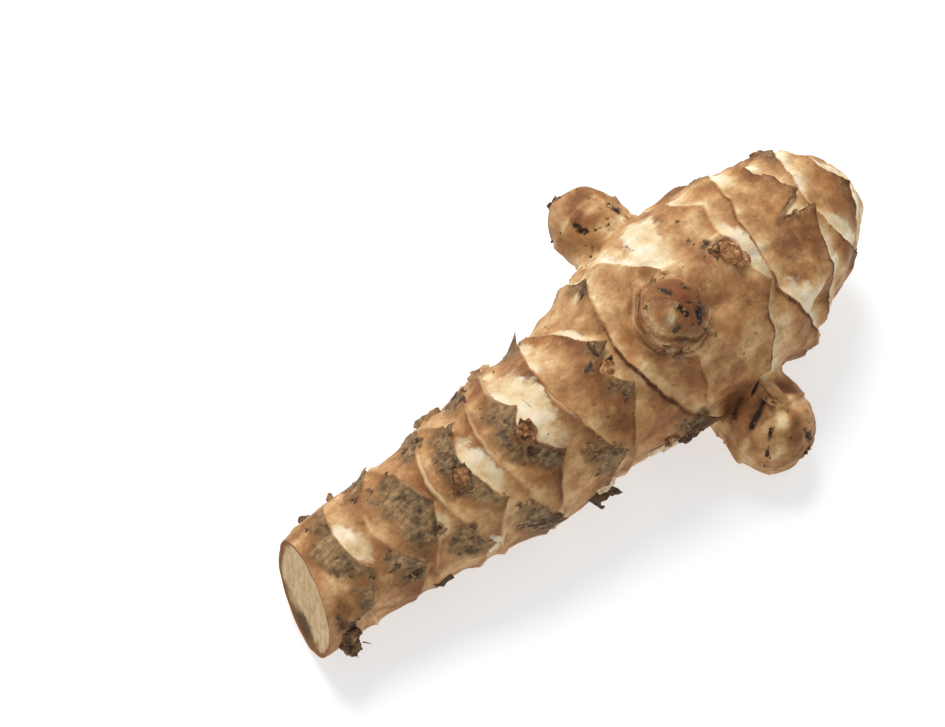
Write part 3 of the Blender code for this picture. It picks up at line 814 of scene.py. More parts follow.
marks = skin_marks(points, x, angle, places)
keep_marks(skin.data, marks)
print({name: round(float(values.mean()), 3) for name, values in marks.items()})

# %% [markdown]
# ## Relief
#
# A scale lies on the stem like a tight collar. Its free edge stands proud, the skin drops beyond it and
# rises again in a low soft rib. Under each scale sits a bud that lifts it a little. On the thin old part
# the skin is drawn tight, so an edge is hardly more than a fine cord. Folds, creases and the roughness of
# dry paper come from noise, and all of it is raised from the skin along its normals by one formula.

# %% Raise the relief
LEAF_LIFT = 0.62
LEAF_FADE = 2.4
STEP_DOWN = 1.15
STEP_FADE = 2.0
EDGE_WIDTH = 0.55
RIB_HEIGHT = 0.25
RIB_AT = 1.5
RIB_WIDTH = 0.7
CORD_HEIGHT = 0.20
WAIST = 0.32
TIP_LIFT = 0.45
TIP_REACH = 2.2
LUMPS = 0.45
LUMP_SIZE = 14.0
FOLDS = 1.00
CREASE = 0.22
DIMPLES = 0.22
DIMPLE_SIZE = 2.6
ROUGH_PAPER = 0.16
ROUGH_SIZE = 1.1
KNOB_EDGE = 0.28
TOP_KNOB_EDGE = 0.42
SLIT_DEPTH = 0.22


def leaf_relief(places):
    """Height from the distances past one leaf edge and short of the next."""
    past = places["past"]
    ahead = places["ahead"]
    fallen = 1 - np.exp(-past / EDGE_WIDTH)
    rising = places["step_ahead"] * np.exp(-ahead / LEAF_FADE)
    lift = LEAF_LIFT * np.maximum(rising, places["step_behind"] * (1 - fallen))
    step = -STEP_DOWN * places["step_behind"] * fallen * np.exp(-past / STEP_FADE)
    rib = RIB_HEIGHT * places["step_behind"] * np.exp(-((past - RIB_AT) / RIB_WIDTH) ** 2)
    waist = -WAIST * np.sin(math.pi * past / (past + ahead))
    return lift + step + rib + waist


def swellings(x, angle):
    """Height of the curled leaf tips and of the buds."""
    r = smooth_through(GIRTH, x)[:, 0]
    height = np.zeros(len(x))
    for number, points in enumerate(RINGS, start=1):
        for turned, tip_x in points[0::2]:
            step = STEPS[number - 1] * float(ring_fade(number, np.radians([float(turned)]))[0])
            away = turn_between(angle, turned) * r
            along = np.maximum(tip_x - x, 0) + 4 * np.maximum(x - tip_x, 0)
            height += TIP_LIFT * step * np.exp(-np.hypot(away, along) / TIP_REACH)
    for turned, bud_x, across, high in BUDS + BULGES:
        height += high * soft_spot(x, angle, r, turned, bud_x, across, across)
    return height


def fold_relief(points, x):
    """Folds that run along the stem, and narrow creases between them, stronger on the thick part."""
    thick = 0.35 + 0.65 * np.clip((x + 6) / 16.0, 0, 1)
    crease = slow_noise(points * (0.55, 1.0, 1.0), 6.5, 3)
    return thick * (FOLDS * marks["fold"] - CREASE * np.exp(-(crease / 0.07) ** 2))


def raise_mesh(mesh, points, normals, height):
    """Moves each point in mm along its normal."""
    mesh.vertices.foreach_set("co", ((points + normals * height[:, None]) * MM).ravel())
    mesh.update()


height = leaf_relief(places) + swellings(x, angle) + CORD_HEIGHT * marks["cord"]
for name, knob in KNOBS.items():
    knob_past, knob_ahead, share = knob_share(knob, points)
    knob_height = np.exp(-knob_ahead / 0.6) - 1.3 * np.exp(-knob_past / 0.8) * (1 - np.exp(-knob_past / 0.3))
    knob_height *= TOP_KNOB_EDGE if name == "top" else KNOB_EDGE
    height = height * (1 - share) + knob_height * share
height += LUMPS * slow_noise(points, LUMP_SIZE) + DIMPLES * slow_noise(points, DIMPLE_SIZE, 1)
height += fold_relief(points, x) + ROUGH_PAPER * marks["dry"] * slow_noise(points, ROUGH_SIZE, 4)
height -= SLIT_DEPTH * np.minimum(marks["slit"], 1)
raise_mesh(skin.data, points, normals, height)
print("relief from", round(height.min(), 2), "to", round(height.max(), 2), "mm")

# %% [markdown]
# ## The cut end and the places it rests on
#
# The tuber was cut from its runner with one stroke, so the end is a flat oval of raw flesh. A bisected
# mesh filled with one face gives that. Insets then make rings inside the oval, so that the flesh can
# sink a little from its rim as drying flesh does. The lowest places on the belly are flattened too.

# %% Cut the end and flatten the belly
REST_TRIM = 0.55
# Rings inside the cut: how far out from its middle, and how deep the flesh has sunk there.
CUT_RINGS = [(0.97, 0.02), (0.90, 0.16), (0.75, 0.28), (0.55, 0.34), (0.35, 0.36), (0.15, 0.36)]


def slice_off(mesh, point, facing):
    """Cuts away what lies beyond a plane, closes the cut and returns the new faces."""
    everything = mesh.verts[:] + mesh.edges[:] + mesh.faces[:]
    bmesh.ops.bisect_plane(
        mesh, geom=everything, dist=1e-7, plane_co=Vector(point), plane_no=Vector(facing), clear_outer=True
    )
    rim = [edge for edge in mesh.edges if edge.is_boundary]
    return bmesh.ops.holes_fill(mesh, edges=rim, sides=0)["faces"]


carved = bmesh.new()
carved.from_mesh(skin.data)
rim_layer = carved.verts.layers.float.new("rim")
rest = min(vertex.co.z for vertex in carved.verts) + REST_TRIM * MM
slice_off(carved, (0, 0, rest), (0, 0, -1))
cut_face = slice_off(carved, np.array(CUT_POINT) * MM, CUT_FACING)[0]
cut_out = Vector(CUT_FACING).normalized()
rim = [loop.vert for loop in cut_face.loops]
middle = sum((vertex.co for vertex in rim), Vector()) / len(rim)
bmesh.ops.delete(carved, geom=[cut_face], context="FACES_ONLY")
for vertex in rim:
    vertex[rim_layer] = 1.0
outer = rim
for share, sink in CUT_RINGS:
    inner = []
    for vertex in rim:
        spot = middle.lerp(vertex.co, share)
        uneven = 0.10 * noise.noise(spot / (2.5 * MM))
        inner.append(carved.verts.new(spot + cut_out * (uneven - sink) * MM))
        inner[-1][rim_layer] = share ** 5
    for i in range(len(rim)):
        after = (i + 1) % len(rim)
        carved.faces.new((outer[i], outer[after], inner[after], inner[i])).material_index = 1
    outer = inner
heart = carved.verts.new(middle - cut_out * CUT_RINGS[-1][1] * MM)
for i in range(len(rim)):
    carved.faces.new((outer[i], outer[(i + 1) % len(rim)], heart)).material_index = 1
bmesh.ops.recalc_face_normals(carved, faces=carved.faces[:])
for edge in carved.edges:
    edge.smooth = len({face.material_index for face in edge.link_faces}) == 1
carved.to_mesh(skin.data)
carved.free()
skin.data.shade_smooth()
print("skin faces after the cuts", len(skin.data.polygons))

# %% [markdown]
# ## Corky skin
#
# The skin is a thin cork layer, dry and matte, over pale flesh. Just past a scale's edge it is
# young and cream; towards the next edge it ages to tan and brown. The shader adds that age to clouds of
# noise, reads one colour ramp with the sum, and lays each kind of damage over it together with painted
# shade and highlight, always through noise so that every border is ragged. Cork has an IOR near 1.4 and
# scatters a little light, so a low subsurface weight softens it. The size of each pattern is given in mm.

# %% Helpers for patterns and layers
def per_mm(size):
    """The scale setting for a pattern whose features are size mm across."""
    return 1.0 / (size * MM)


def summed(tree, start, parts):
    """A weighted sum of sockets, as a chain of multiply-adds."""
    total = start
    for source, weight in parts:
        total = add(tree, "Math", {0: source, 1: weight, 2: total}, operation="MULTIPLY_ADD")
    return total


def ragged(tree, mask, grain, amount, low, high):
    """A soft mask whose border follows a grain, from 0 below low to 1 above high."""
    frayed = summed(tree, mask, [(grain, amount)])
    return add(tree, "MapRange", {0: frayed, 1: low, 2: high}, interpolation_type="SMOOTHSTEP")


def laid_over(tree, under, layers):
    """Colours laid one over another, each through its mask."""
    for mask, colour in layers:
        colour = linear(colour) if isinstance(colour, str) else colour
        under = add(tree, "Mix", {0: mask, 6: under, 7: colour}, data_type="RGBA").outputs[2]
    return under


def new_material(name):
    """A material, its node tree, and the place on the object that its patterns read."""
    material = bpy.data.materials.new(name)
    material.use_nodes = True
    tree = material.node_tree
    return material, tree, add(tree, "TexCoord").outputs["Object"]


def set_values(node, settings):
    for name, value in settings.items():
        node.inputs[name].default_value = value


def set_surface(tree, colour, normal, settings):
    """Feeds the Principled shader: what varies is linked, what is the same all over is set."""
    shader = tree.nodes["Principled BSDF"]
    tree.links.new(colour, shader.inputs["Base Color"])
    tree.links.new(normal.outputs[0], shader.inputs["Normal"])
    set_values(shader, settings)
    return shader


print("a pattern 2 mm across has the scale", per_mm(2))

# %% Patterns in the corky skin
corky_skin, tree, place = new_material("corky_skin")
mark = {name: add(tree, "Attribute", attribute_name=name).outputs["Fac"] for name in marks}
cloud = add(tree, "TexNoise", {"Vector": place, "Scale": per_mm(9), "Detail": 2.0})
mottle = add(tree, "TexNoise", {"Vector": place, "Scale": per_mm(3.4), "Detail": 6.0, "Roughness": 0.6})
grain = add(tree, "TexNoise", {"Vector": place, "Scale": per_mm(0.7), "Detail": 5.0, "Roughness": 0.6})
ravel = add(tree, "TexNoise", {"Vector": place, "Scale": per_mm(1.9), "Detail": 7.0, "Roughness": 0.65})
blush = add(tree, "TexNoise", {"Vector": place, "Scale": per_mm(5.0), "Detail": 4.0, "Distortion": 0.6})
drawn_out = add(tree, "Mapping", {"Vector": place, "Scale": (0.16, 1.0, 1.0)})
fibre = add(tree, "TexNoise", {"Vector": drawn_out, "Scale": per_mm(0.8), "Detail": 4.0, "Roughness": 0.6})
pores = add(tree, "TexVoronoi", {"Vector": place, "Scale": per_mm(2.3), "Randomness": 1.0})
pore_size = add(tree, "SeparateColor", {0: pores.outputs["Color"]})

print("corky skin patterns", len(tree.nodes))

# %% [markdown]
# ## Colours of the corky skin
#
# The age of the bark picks its colour. Its tones are partly the bark's own and partly painted light and
# shade, and the folds shift it so that ridges are painted lighter and hollows darker. Damage lies over it in
# the order in which it happened, with painted light and shade among it: the blush and the fibres of the bark,
# pale cords with a painted highlight, torn and dry scale, dark grooves of soil and painted shade, the painted
# shadow just short of each scale's edge, then soil and slits, and last the small dark pores.

# %% Colours of the corky skin
flaked = add(tree, "MapRange", {0: ravel, 1: 0.46, 2: 0.54}, interpolation_type="SMOOTHSTEP")
# Painted light and shade: the fold term makes ridges lighter and hollows darker. The tone mark holds painted
# light and shade as well as the bark's own tone.
age = summed(tree, -0.275, [
    (cloud, 0.60), (mottle, 0.72), (grain, 0.28), (mark["young"], -0.38), (mark["old"], 0.36),
    (mark["tone"], -1.0), (mark["fold"], -0.24), (flaked, 0.06),
])
cork = add(tree, "ValToRGB", {0: age}, stops=[
    (0.06, "F8EDD0"), (0.22, "EDD4A5"), (0.38, "D6AD7A"),
    (0.54, "BC8D5C"), (0.72, "996A42"), (0.92, "6E482B"),
])
ruddy = add(tree, "MapRange", {0: blush, 1: 0.50, 2: 0.70, 4: 0.40})
streaks = add(tree, "MapRange", {0: fibre, 1: 0.54, 2: 0.78, 4: 0.45})
dry = ragged(tree, mark["dry"], ravel, 1.5, 0.86, 1.46)
dry_rim = ragged(tree, mark["dry"], mottle, 1.3, 0.66, 1.10)
dry_rim = add(tree, "Math", {0: dry_rim, 1: 0.60}, operation="MULTIPLY")
dry_tone = summed(tree, -0.82, [(fibre, 0.70), (grain, 0.75), (mottle, 0.75), (blush, 0.50)])
dry_colour = add(tree, "ValToRGB", {0: dry_tone}, stops=[
    (0.20, "352A1F"), (0.36, "5C4935"), (0.48, "786248"),
    (0.60, "967955"), (0.74, "B48F64"), (0.92, "D4B68C"),
])
torn = ragged(tree, mark["torn"], ravel, 1.2, 0.85, 1.25)
torn_colour = add(tree, "ValToRGB", {0: mottle}, stops=[(0.28, "CFA878"), (0.44, "E6CDA0"), (0.64, "F3E5CA")])
soil = ragged(tree, mark["soil"], ravel, 1.3, 0.98, 1.45)
soil_colour = add(tree, "ValToRGB", {0: grain}, stops=[(0.35, "35241A"), (0.50, "573C28"), (0.66, "80593B")])
bud_red = ragged(tree, mark["bud"], mottle, 1.0, 0.85, 1.50)
# Pale cords along the tight edges: partly their own pale colour and partly a painted highlight on the raised
# ridge.
cord_pale_and_highlight = summed(tree, 0.0, [(mark["cord"], 0.9), (mottle, 0.5)])
cord_pale_and_highlight = add(tree, "MapRange", {0: cord_pale_and_highlight, 1: 0.45, 2: 1.10, 4: 0.85}, interpolation_type="SMOOTHSTEP")
# Dark lines along some edges: partly soil, partly painted shade in the crease.
groove_soil_and_shade = ragged(tree, mark["groove_soil_and_shade"], ravel, 1.0, 0.78, 1.35)
slit = ragged(tree, mark["slit"], grain, 0.5, 0.85, 1.15)
# Painted shadow: a dark line just short of each scale's edge, on the side under its step. It is darkest at
# tall steps and on old scales, and noise breaks it up.
painted_edge_shadow = add(tree, "MapRange", {0: mark["edge"], 1: 0.55, 2: 0.95}, interpolation_type="SMOOTHSTEP")
comes_and_goes = add(tree, "MapRange", {0: cloud, 1: 0.42, 2: 0.58, 3: 0.25})
for factor in (mark["side"], mark["old"], comes_and_goes):
    painted_edge_shadow = add(tree, "Math", {0: painted_edge_shadow, 1: factor}, operation="MULTIPLY")
dots = summed(tree, -0.060, [(pore_size, 0.15), (pores.outputs["Distance"], -1.0)])
dots = add(tree, "MapRange", {0: dots, 1: 0.0, 2: 0.03, 4: 0.7}, interpolation_type="SMOOTHSTEP")
colour = laid_over(tree, cork.outputs[0], [
    (ruddy, "B06C38"), (streaks, "98643A"), (cord_pale_and_highlight, "EBC896"), (dry_rim, "8A5B35"),
    (torn, torn_colour.outputs[0]), (dry, dry_colour.outputs[0]), (bud_red, "8A5030"), (groove_soil_and_shade, "55321C"),
    (painted_edge_shadow, "5E3B22"), (soil, soil_colour.outputs[0]), (slit, "33241A"), (dots, "6B452A"),
])
print("corky skin colours", len(tree.nodes))

# %% [markdown]
# ## Surface of the corky skin
#
# Cork is matte, and dry scale more so. Three bumps lie one over another: soft wrinkles, the grain of
# crumpled paper, which is strongest where the scale is dry, and fine ribs that run along the stem.

# %% Surface of the corky skin
wrinkle = add(tree, "Bump", {"Height": mottle, "Distance": 0.5 * MM, "Strength": 0.5})
papery = summed(tree, 0.40, [(dry, 0.70)])
papery = add(tree, "Math", {0: grain, 1: papery}, operation="MULTIPLY")
crumple = add(tree, "Bump", {"Height": papery, "Distance": 0.25 * MM, "Strength": 0.7, "Normal": wrinkle})
ribs = add(tree, "Bump", {"Height": fibre, "Distance": 0.18 * MM, "Strength": 0.5, "Normal": crumple})
shader = set_surface(tree, colour, ribs, {
    "IOR": 1.40, "Specular IOR Level": 0.22, "Subsurface Weight": 0.06,
    "Subsurface Radius": (1.0, 0.55, 0.30), "Subsurface Scale": 1.5 * MM,
})
matte = add(tree, "MapRange", {0: mottle, 1: 0.3, 2: 0.7, 3: 0.48, 4: 0.66})
matte = summed(tree, matte, [(dry, 0.22)])
tree.links.new(matte.outputs[0], shader.inputs["Roughness"])
skin.data.materials.append(corky_skin)
print("corky skin nodes", len(tree.nodes))

# %% [markdown]
# ## Raw flesh
#
# The cut flesh is crisp and pale, with faint rays from its middle and flecks where it has
# started to brown, and its lower part is painted darker as painted shade. Wet flesh would shine; this
# cut has dried, so it is satin. The rays come from a noise that is drawn out, and the browning from a
# coarse one.

# %% Raw flesh material
STAIN_AT = (-53.2, 0.4, 2.2)
raw_flesh, tree, place = new_material("raw_flesh")
drawn_out = add(tree, "Mapping", {"Vector": place, "Scale": (1.0, 1.0, 0.25)})
fibres = add(tree, "TexNoise", {"Vector": drawn_out, "Scale": per_mm(0.8), "Detail": 5.0, "Roughness": 0.6})
browning = add(tree, "TexNoise", {"Vector": place, "Scale": per_mm(4.5), "Detail": 5.0, "Roughness": 0.6})
fleck = add(tree, "TexNoise", {"Vector": place, "Scale": per_mm(0.9), "Detail": 3.0})
flesh = add(tree, "ValToRGB", {0: fibres}, stops=[(0.30, "C09A68"), (0.50, "D0B081"), (0.70, "E0C89C")])
brown_spots = add(tree, "MapRange", {0: fleck, 1: 0.59, 2: 0.68, 4: 0.7})
# Painted shade: the flesh is painted darker towards the bottom of the cut, ragged by the browning noise.
height_up = add(tree, "SeparateXYZ", {0: place}).outputs["Z"]
painted_shade_low_end = add(tree, "MapRange", {0: height_up, 1: 10.0 * MM, 2: 0.0})
painted_shade_low_end = ragged(tree, painted_shade_low_end, browning, 1.2, 0.96, 1.40)
stain_centre = [value * MM for value in STAIN_AT]
from_stain = add(tree, "VectorMath", {0: place, 1: stain_centre}, operation="DISTANCE")
stain = add(tree, "MapRange", {0: from_stain.outputs["Value"], 1: 6.0 * MM, 2: 1.0 * MM})
stain = ragged(tree, stain, browning, 0.9, 0.72, 1.15)
brown_rim = add(tree, "Attribute", attribute_name="rim").outputs["Fac"]
brown_rim = ragged(tree, brown_rim, browning, 0.7, 0.85, 1.10)
colour = laid_over(tree, flesh.outputs[0], [
    (brown_spots, "AE7C48"), (painted_shade_low_end, "73522E"), (stain, "604526"), (brown_rim, "8A5A30"),
])
tooth = add(tree, "Bump", {"Height": fibres, "Distance": 0.15 * MM, "Strength": 0.6})
set_surface(tree, colour, tooth, {
    "Roughness": 0.6, "IOR": 1.38, "Specular IOR Level": 0.12, "Subsurface Weight": 0.15,
    "Subsurface Radius": (1.0, 0.7, 0.4), "Subsurface Scale": 2.0 * MM,
})
skin.data.materials.append(raw_flesh)
print("cut flesh is", raw_flesh.name)

# %% [markdown]
# ## Free edges of the scales
#
# The relief alone gives a soft step. On the real tuber the last millimetre of a scale round its tip is a
# free paper edge that throws a hairline shadow. Each ring gets a thin strip that grows out of the skin,
# lies on it near the tips and stays buried in the valleys. At a tip it runs out to a point and curls up.
# The strip finds the skin by casting rays at it, and Solidify gives it the thickness of dry leaf.

# %% Leaf edge strips
EDGE_STEPS = 360
EDGE_THICKNESS = 0.10
STRIP_FRAY = 0.20
# Depth of the strip under the skin where it isn't free.
BURIED = 0.45
# The skin is met by rays from this far out, and this far short of a ring's edge.
RAYS_FROM = 60.0
SHORT_OF_EDGE = 0.4
# Skin farther than this from the body's girth belongs to a knob, and gets no strip.
OFF_BODY = 2.4
# Distance from the edge and height over the skin, from the strip's root to its free edge.
EDGE_SECTION = [(-2.4, -0.16), (-1.6, -0.05), (-1.0, 0.02), (-0.55, 0.07), (-0.2, 0.10), (0.05, 0.10)]
TIP_SHARP = 1.3
PLAIN_CURL = (0.4, 0.15)
# Ring, which of its tips, how far it runs out, how far it curls up and perhaps how broad it is,
# for the tips that stand off most.
CURLS = {
    (1, 0): (0.9, 0.6), (2, 0): (0.5, 0.3), (2, 1): (0.6, 0.2), (3, 0): (0.7, 0.3), (4, 0): (0.3, 0.1),
    (4, 1): (0.9, 0.4), (6, 0): (0.4, 0.2), (6, 1): (1.3, 0.7), (7, 2): (0.8, 0.3), (8, 0): (1.7, 1.4, 2.0),
    (8, 1): (1.0, 0.4), (9, 0): (1.0, 0.6), (9, 1): (0.9, 0.3), (10, 0): (0.5, 0.2), (10, 1): (2.4, 0.9),
    (12, 1): (0.6, 0.2), (14, 0): (0.7, 0.3), (14, 1): (0.9, 0.3), (16, 0): (0.6, 0.2),
}
# Half the width of the free part round a tip: narrow on the tight old skin, wider on the thick part.
FREE_WIDTHS = [4.5, 1.6, 3.0, 1.6, 3.6, 2.2, 4.0, 3.2, 4.4, 5.0, 3.6, 5.0, 5.0, 4.0, 5.0, 4.0]
skin_tree = BVHTree.FromObject(skin, bpy.context.evaluated_depsgraph_get())


def skin_distance(x, angle):
    """How far the skin is from the axis at each place, or 0 where no skin is met."""
    far = body_points(x, angle, np.full(len(x), RAYS_FROM))
    near = body_points(x, angle, np.zeros(len(x)))
    found = np.zeros(len(x))
    for i in range(len(x)):
        start = Vector(far[i] * MM)
        hit = skin_tree.ray_cast(start, Vector(near[i] * MM) - start)[0]
        if hit:
            found[i] = np.linalg.norm(np.array(hit) / MM - near[i])
    return found


def ring_strip(number):
    """Grid of points for one ring's free edge, its places, and which columns lie on the body."""
    angle = np.linspace(-math.pi, math.pi, EDGE_STEPS, endpoint=False)
    edge_x = ring_lines(angle)[0][number - 1]
    r = smooth_through(GIRTH, edge_x)[:, 0]
    frayed = STRIP_FRAY * round_noise(angle, 1.1, number + 120)
    run_out = np.zeros(EDGE_STEPS)
    curl = np.zeros(EDGE_STEPS)
    free = np.zeros(EDGE_STEPS)
    for tip, (turned, tip_x) in enumerate(RINGS[number - 1][0::2]):
        reach, lift, *broad = CURLS.get((number, tip), PLAIN_CURL)
        sharp = broad[0] if broad else TIP_SHARP
        away = np.abs(turn_between(angle, turned)) * r
        run_out = np.maximum(run_out, reach * np.exp(-away / sharp))
        curl = np.maximum(curl, lift * np.exp(-away / sharp))
        free = np.maximum(free, np.exp(-(away / FREE_WIDTHS[number - 1]) ** 2))
    uneven = 0.5 * round_noise(angle, 5.0, number + 80) * (free > 0.15)
    free = np.clip(free + uneven, 0, 1) * ring_fade(number, angle)
    on_skin = skin_distance(edge_x - SHORT_OF_EDGE, angle)
    valid = (on_skin > 0) & (on_skin < r + OFF_BODY)
    rows = []
    for offset, high in EDGE_SECTION:
        outward = (offset - EDGE_SECTION[0][0]) / (EDGE_SECTION[-1][0] - EDGE_SECTION[0][0])
        row_x = edge_x + offset + (frayed + run_out) * outward ** 2
        seat = skin_distance(np.minimum(row_x, edge_x - SHORT_OF_EDGE), angle)
        lying = high * free - BURIED * (1 - free)
        rows.append((row_x, seat + lying + curl * outward ** 3))
    return angle, edge_x, rows, valid


def grid_faces(start, rows, columns, closed):
    """Faces between neighbouring rows of points, the first of which has the index start."""
    faces = []
    for j in range(rows - 1):
        low = start + j * columns
        for i in range(columns if closed else columns - 1):
            after = (i + 1) % columns
            faces.append((low + i, low + after, low + columns + after, low + columns + i))
    return faces


def mesh_piece(name, verts, faces):
    """A new piece from points in metres."""
    mesh = bpy.data.meshes.new(name)
    mesh.from_pydata(verts, [], faces)
    return new_piece(name, mesh)


def thicken(sheet, thickness, offset):
    """Gives a sheet a thickness in mm: half on each side for an offset of 0, all inward for -1."""
    solid = sheet.modifiers.new("leaf", "SOLIDIFY")
    solid.thickness = thickness * MM
    solid.offset = offset
    apply_modifiers(sheet)
    sheet.data.shade_smooth()


strip_verts = []
strip_faces = []
strip_marks = []
for number in range(1, len(RINGS) + 1):
    angle, edge_x, rows, valid = ring_strip(number)
    start = sum(len(part) for part in strip_verts)
    for row_x, distance in rows:
        row_points = body_points(row_x, angle, distance)
        strip_verts.append(row_points)
        behind = np.minimum(row_x, edge_x - 0.03)
        strip_marks.append(skin_marks(row_points, behind, angle, ring_places(behind, angle)))
    for face in grid_faces(start, len(rows), EDGE_STEPS, True):
        if all(valid[(corner - start) % EDGE_STEPS] for corner in face):
            strip_faces.append(face)
leaf_edges = mesh_piece("leaf_edges", np.concatenate(strip_verts) * MM, strip_faces)
edge_mesh = leaf_edges.data
keep_marks(edge_mesh, {name: np.concatenate([part[name] for part in strip_marks]) for name in marks})
edge_mesh.materials.append(corky_skin)
trimmed = bmesh.new()
trimmed.from_mesh(edge_mesh)
unused = [vertex for vertex in trimmed.verts if not vertex.link_faces]
bmesh.ops.delete(trimmed, geom=unused, context="VERTS")
bmesh.ops.recalc_face_normals(trimmed, faces=trimmed.faces[:])
trimmed.to_mesh(edge_mesh)
trimmed.free()
thicken(leaf_edges, EDGE_THICKNESS, 0.0)
print("leaf edge faces", len(leaf_edges.data.polygons))

# %% [markdown]
# ## Buds
#
# A bud sits in the armpit of each scale: a low dome wrapped in a few tiny red-brown scales that overlap.
# Each one is modelled as a rough dome with two tiers of pointed flaps pulled over it, stood on the
# skin along its normal. Buds on the swollen knobs are made in the same way.

# %% Seats on the skin
def skin_seat(point):
    """The nearest place on the skin to a point in mm, in mm, and the skin's normal there."""
    location, normal = skin_tree.find_nearest(Vector(point) * MM)[:2]
    return location / MM, normal


def body_seat(degrees, x):
    """The place on the skin at an angle round the body and an x along it, and the normal there."""
    at = np.array([float(x)])
    turn = np.radians([float(degrees)])
    reach = skin_distance(at, turn)
    return skin_seat(body_points(at, turn, reach)[0])


print("the crown bud's seat in mm", [round(value, 1) for value in body_seat(11, 26)[0]])

# %% Buds
BUD_SCALE_THICKNESS = 0.10
BUD_SUNK = 0.05
# Points up and round a bud's dome, and along and across one of its flaps.
BUD_DOME = (10, 28)
BUD_FLAP = (8, 7)
# Seat as angle and x on the body, radius and height in mm, share of pale flesh, turn of its scales.
BODY_BUDS = [
    ((15, -24.9), 1.30, 0.24, 0.05, 20), ((18, -14.3), 1.60, 0.26, 0.00, 70),
    ((17, 1.2), 1.20, 0.45, 0.65, 10), ((9, 24.7), 1.20, 0.40, 0.40, 40),
    ((14.5, 25.6), 1.60, 0.55, 0.50, 75), ((20.5, 26.4), 1.40, 0.50, 0.45, 15),
    ((200, -14.5), 1.30, 0.35, 0.20, 15), ((195, 0.0), 1.40, 0.35, 0.30, 60),
    ((190, 38.5), 1.50, 0.50, 0.30, 45), ((92, 4.4), 1.10, 0.35, 0.20, 50),
    ((190, -27.0), 1.10, 0.30, 0.20, 20),
]
# Seat near a point on a knob.
KNOB_BUDS = [
    ((21.5, -20.3, 14.4), 0.85, 0.25, 0.55, 30), ((22.9, -27.3, 5.5), 0.90, 0.25, 0.60, 15),
    ((17.8, 27.0, 20.0), 0.90, 0.22, 0.60, 50),
]
# Tier of scales: how many, lowest and highest lean, half width in degrees, radius share, lift at the tip.
BUD_TIERS = [(3, -20, 60, 78, 1.12, 0.16), (2, 10, 84, 95, 1.03, 0.10)]


def bud_point(radius, high, lean, a, rough, seed, grain, tier):
    """A point on a bud's dome, roughened by noise as fine as grain and drawn in and out round its foot."""
    flat = radius * math.cos(lean)
    p = Vector((flat * math.cos(a), flat * math.sin(a), high * math.sin(lean)))
    p += p.normalized() * rough * noise.noise(p / grain + Vector((seed, tier, 0)))
    around = Vector((1.7 * math.cos(a), 1.7 * math.sin(a), seed * 3.3))
    return p * (1 + (0.1 + 1.6 * rough) * noise.noise(around))


def bud_form(radius, high, rough, turn, seed):
    """Points, faces and a dome-or-scale number for one bud round the origin, its top along +Z."""
    rings, sides = BUD_DOME
    verts = []
    for j in range(rings):
        lean = math.radians(-20 + 110 * j / (rings - 1))
        for i in range(sides):
            verts.append(bud_point(radius, high, lean, 2 * math.pi * i / sides, rough, seed, 0.5, 0))
    faces = grid_faces(0, rings, sides, True)
    scale_marks = [0.0] * len(verts)
    rows, columns = BUD_FLAP
    for count, low, top, half, share, lift in BUD_TIERS:
        for flap in range(count):
            middle = turn + 360 * flap / count + 11 * seed
            faces += grid_faces(len(verts), rows, columns, False)
            for j in range(rows):
                u = j / (rows - 1)
                lean = math.radians(low + (top - low) * u)
                for i in range(columns):
                    v = 2 * i / (columns - 1) - 1
                    a = math.radians(middle + v * half * (1 - u ** 1.6))
                    reach = share + lift * u * u - 0.05 * v * v
                    verts.append(bud_point(radius * reach, high * reach, lean, a, rough, seed, 0.6, 5))
                    scale_marks.append(0.25 + 0.75 * u)
    return verts, faces, scale_marks


seats = [(body_seat(*seat), rest) for seat, *rest in BODY_BUDS]
seats += [(skin_seat(seat), rest) for seat, *rest in KNOB_BUDS]
bud_verts = []
bud_faces = []
bud_scales = []
bud_flesh = []
for number, ((location, normal), (radius, high, pale, turn)) in enumerate(seats):
    verts, faces, scale_marks = bud_form(radius, high, 0.25 * (1 - 1.8 * min(pale, 0.45)), turn, number + 1)
    stand = normal.to_track_quat("Z", "Y").to_matrix()
    start = len(bud_verts)
    bud_verts += [(location - normal * BUD_SUNK + stand @ p) * MM for p in verts]
    bud_faces += [tuple(start + i for i in face) for face in faces]
    bud_scales += scale_marks
    bud_flesh += [pale] * len(verts)
buds = mesh_piece("buds", bud_verts, bud_faces)
keep_marks(buds.data, {"scale": np.array(bud_scales), "flesh": np.array(bud_flesh)})
thicken(buds, BUD_SCALE_THICKNESS, -1.0)
print(len(seats), "buds,", len(buds.data.polygons), "faces")

# %% [markdown]
# ## Bud scales
#
# Bud scales are living leaf tissue with a thin red-brown bark, darker at their tips. They are a little
# smoother than cork but just as matte where they have dried. A fleshy bud shows more cream.

# %% Bud scale material
bud_scale, tree, place = new_material("bud_scale")
patchy = add(tree, "TexNoise", {"Vector": place, "Scale": per_mm(1.1), "Detail": 6.0, "Roughness": 0.65})
crust = add(tree, "TexNoise", {"Vector": place, "Scale": per_mm(0.35), "Detail": 3.0})
fleshy = add(tree, "Attribute", attribute_name="flesh").outputs["Fac"]
scaly = add(tree, "Attribute", attribute_name="scale").outputs["Fac"]
tone = summed(tree, -0.23, [(patchy, 0.90), (crust, 0.35), (fleshy, -0.22), (scaly, 0.14)])
bark = add(tree, "ValToRGB", {0: tone}, stops=[
    (0.10, "EACB9C"), (0.26, "CA9560"), (0.40, "A06C3E"),
    (0.56, "7C5034"), (0.72, "573925"), (0.90, "35241A"),
])
folds = add(tree, "Bump", {"Height": patchy, "Distance": 0.20 * MM, "Strength": 0.6})
crinkle = add(tree, "Bump", {"Height": crust, "Distance": 0.06 * MM, "Strength": 0.7, "Normal": folds})
set_surface(tree, bark.outputs[0], crinkle, {"Roughness": 0.62, "IOR": 1.40})
buds.data.materials.append(bud_scale)
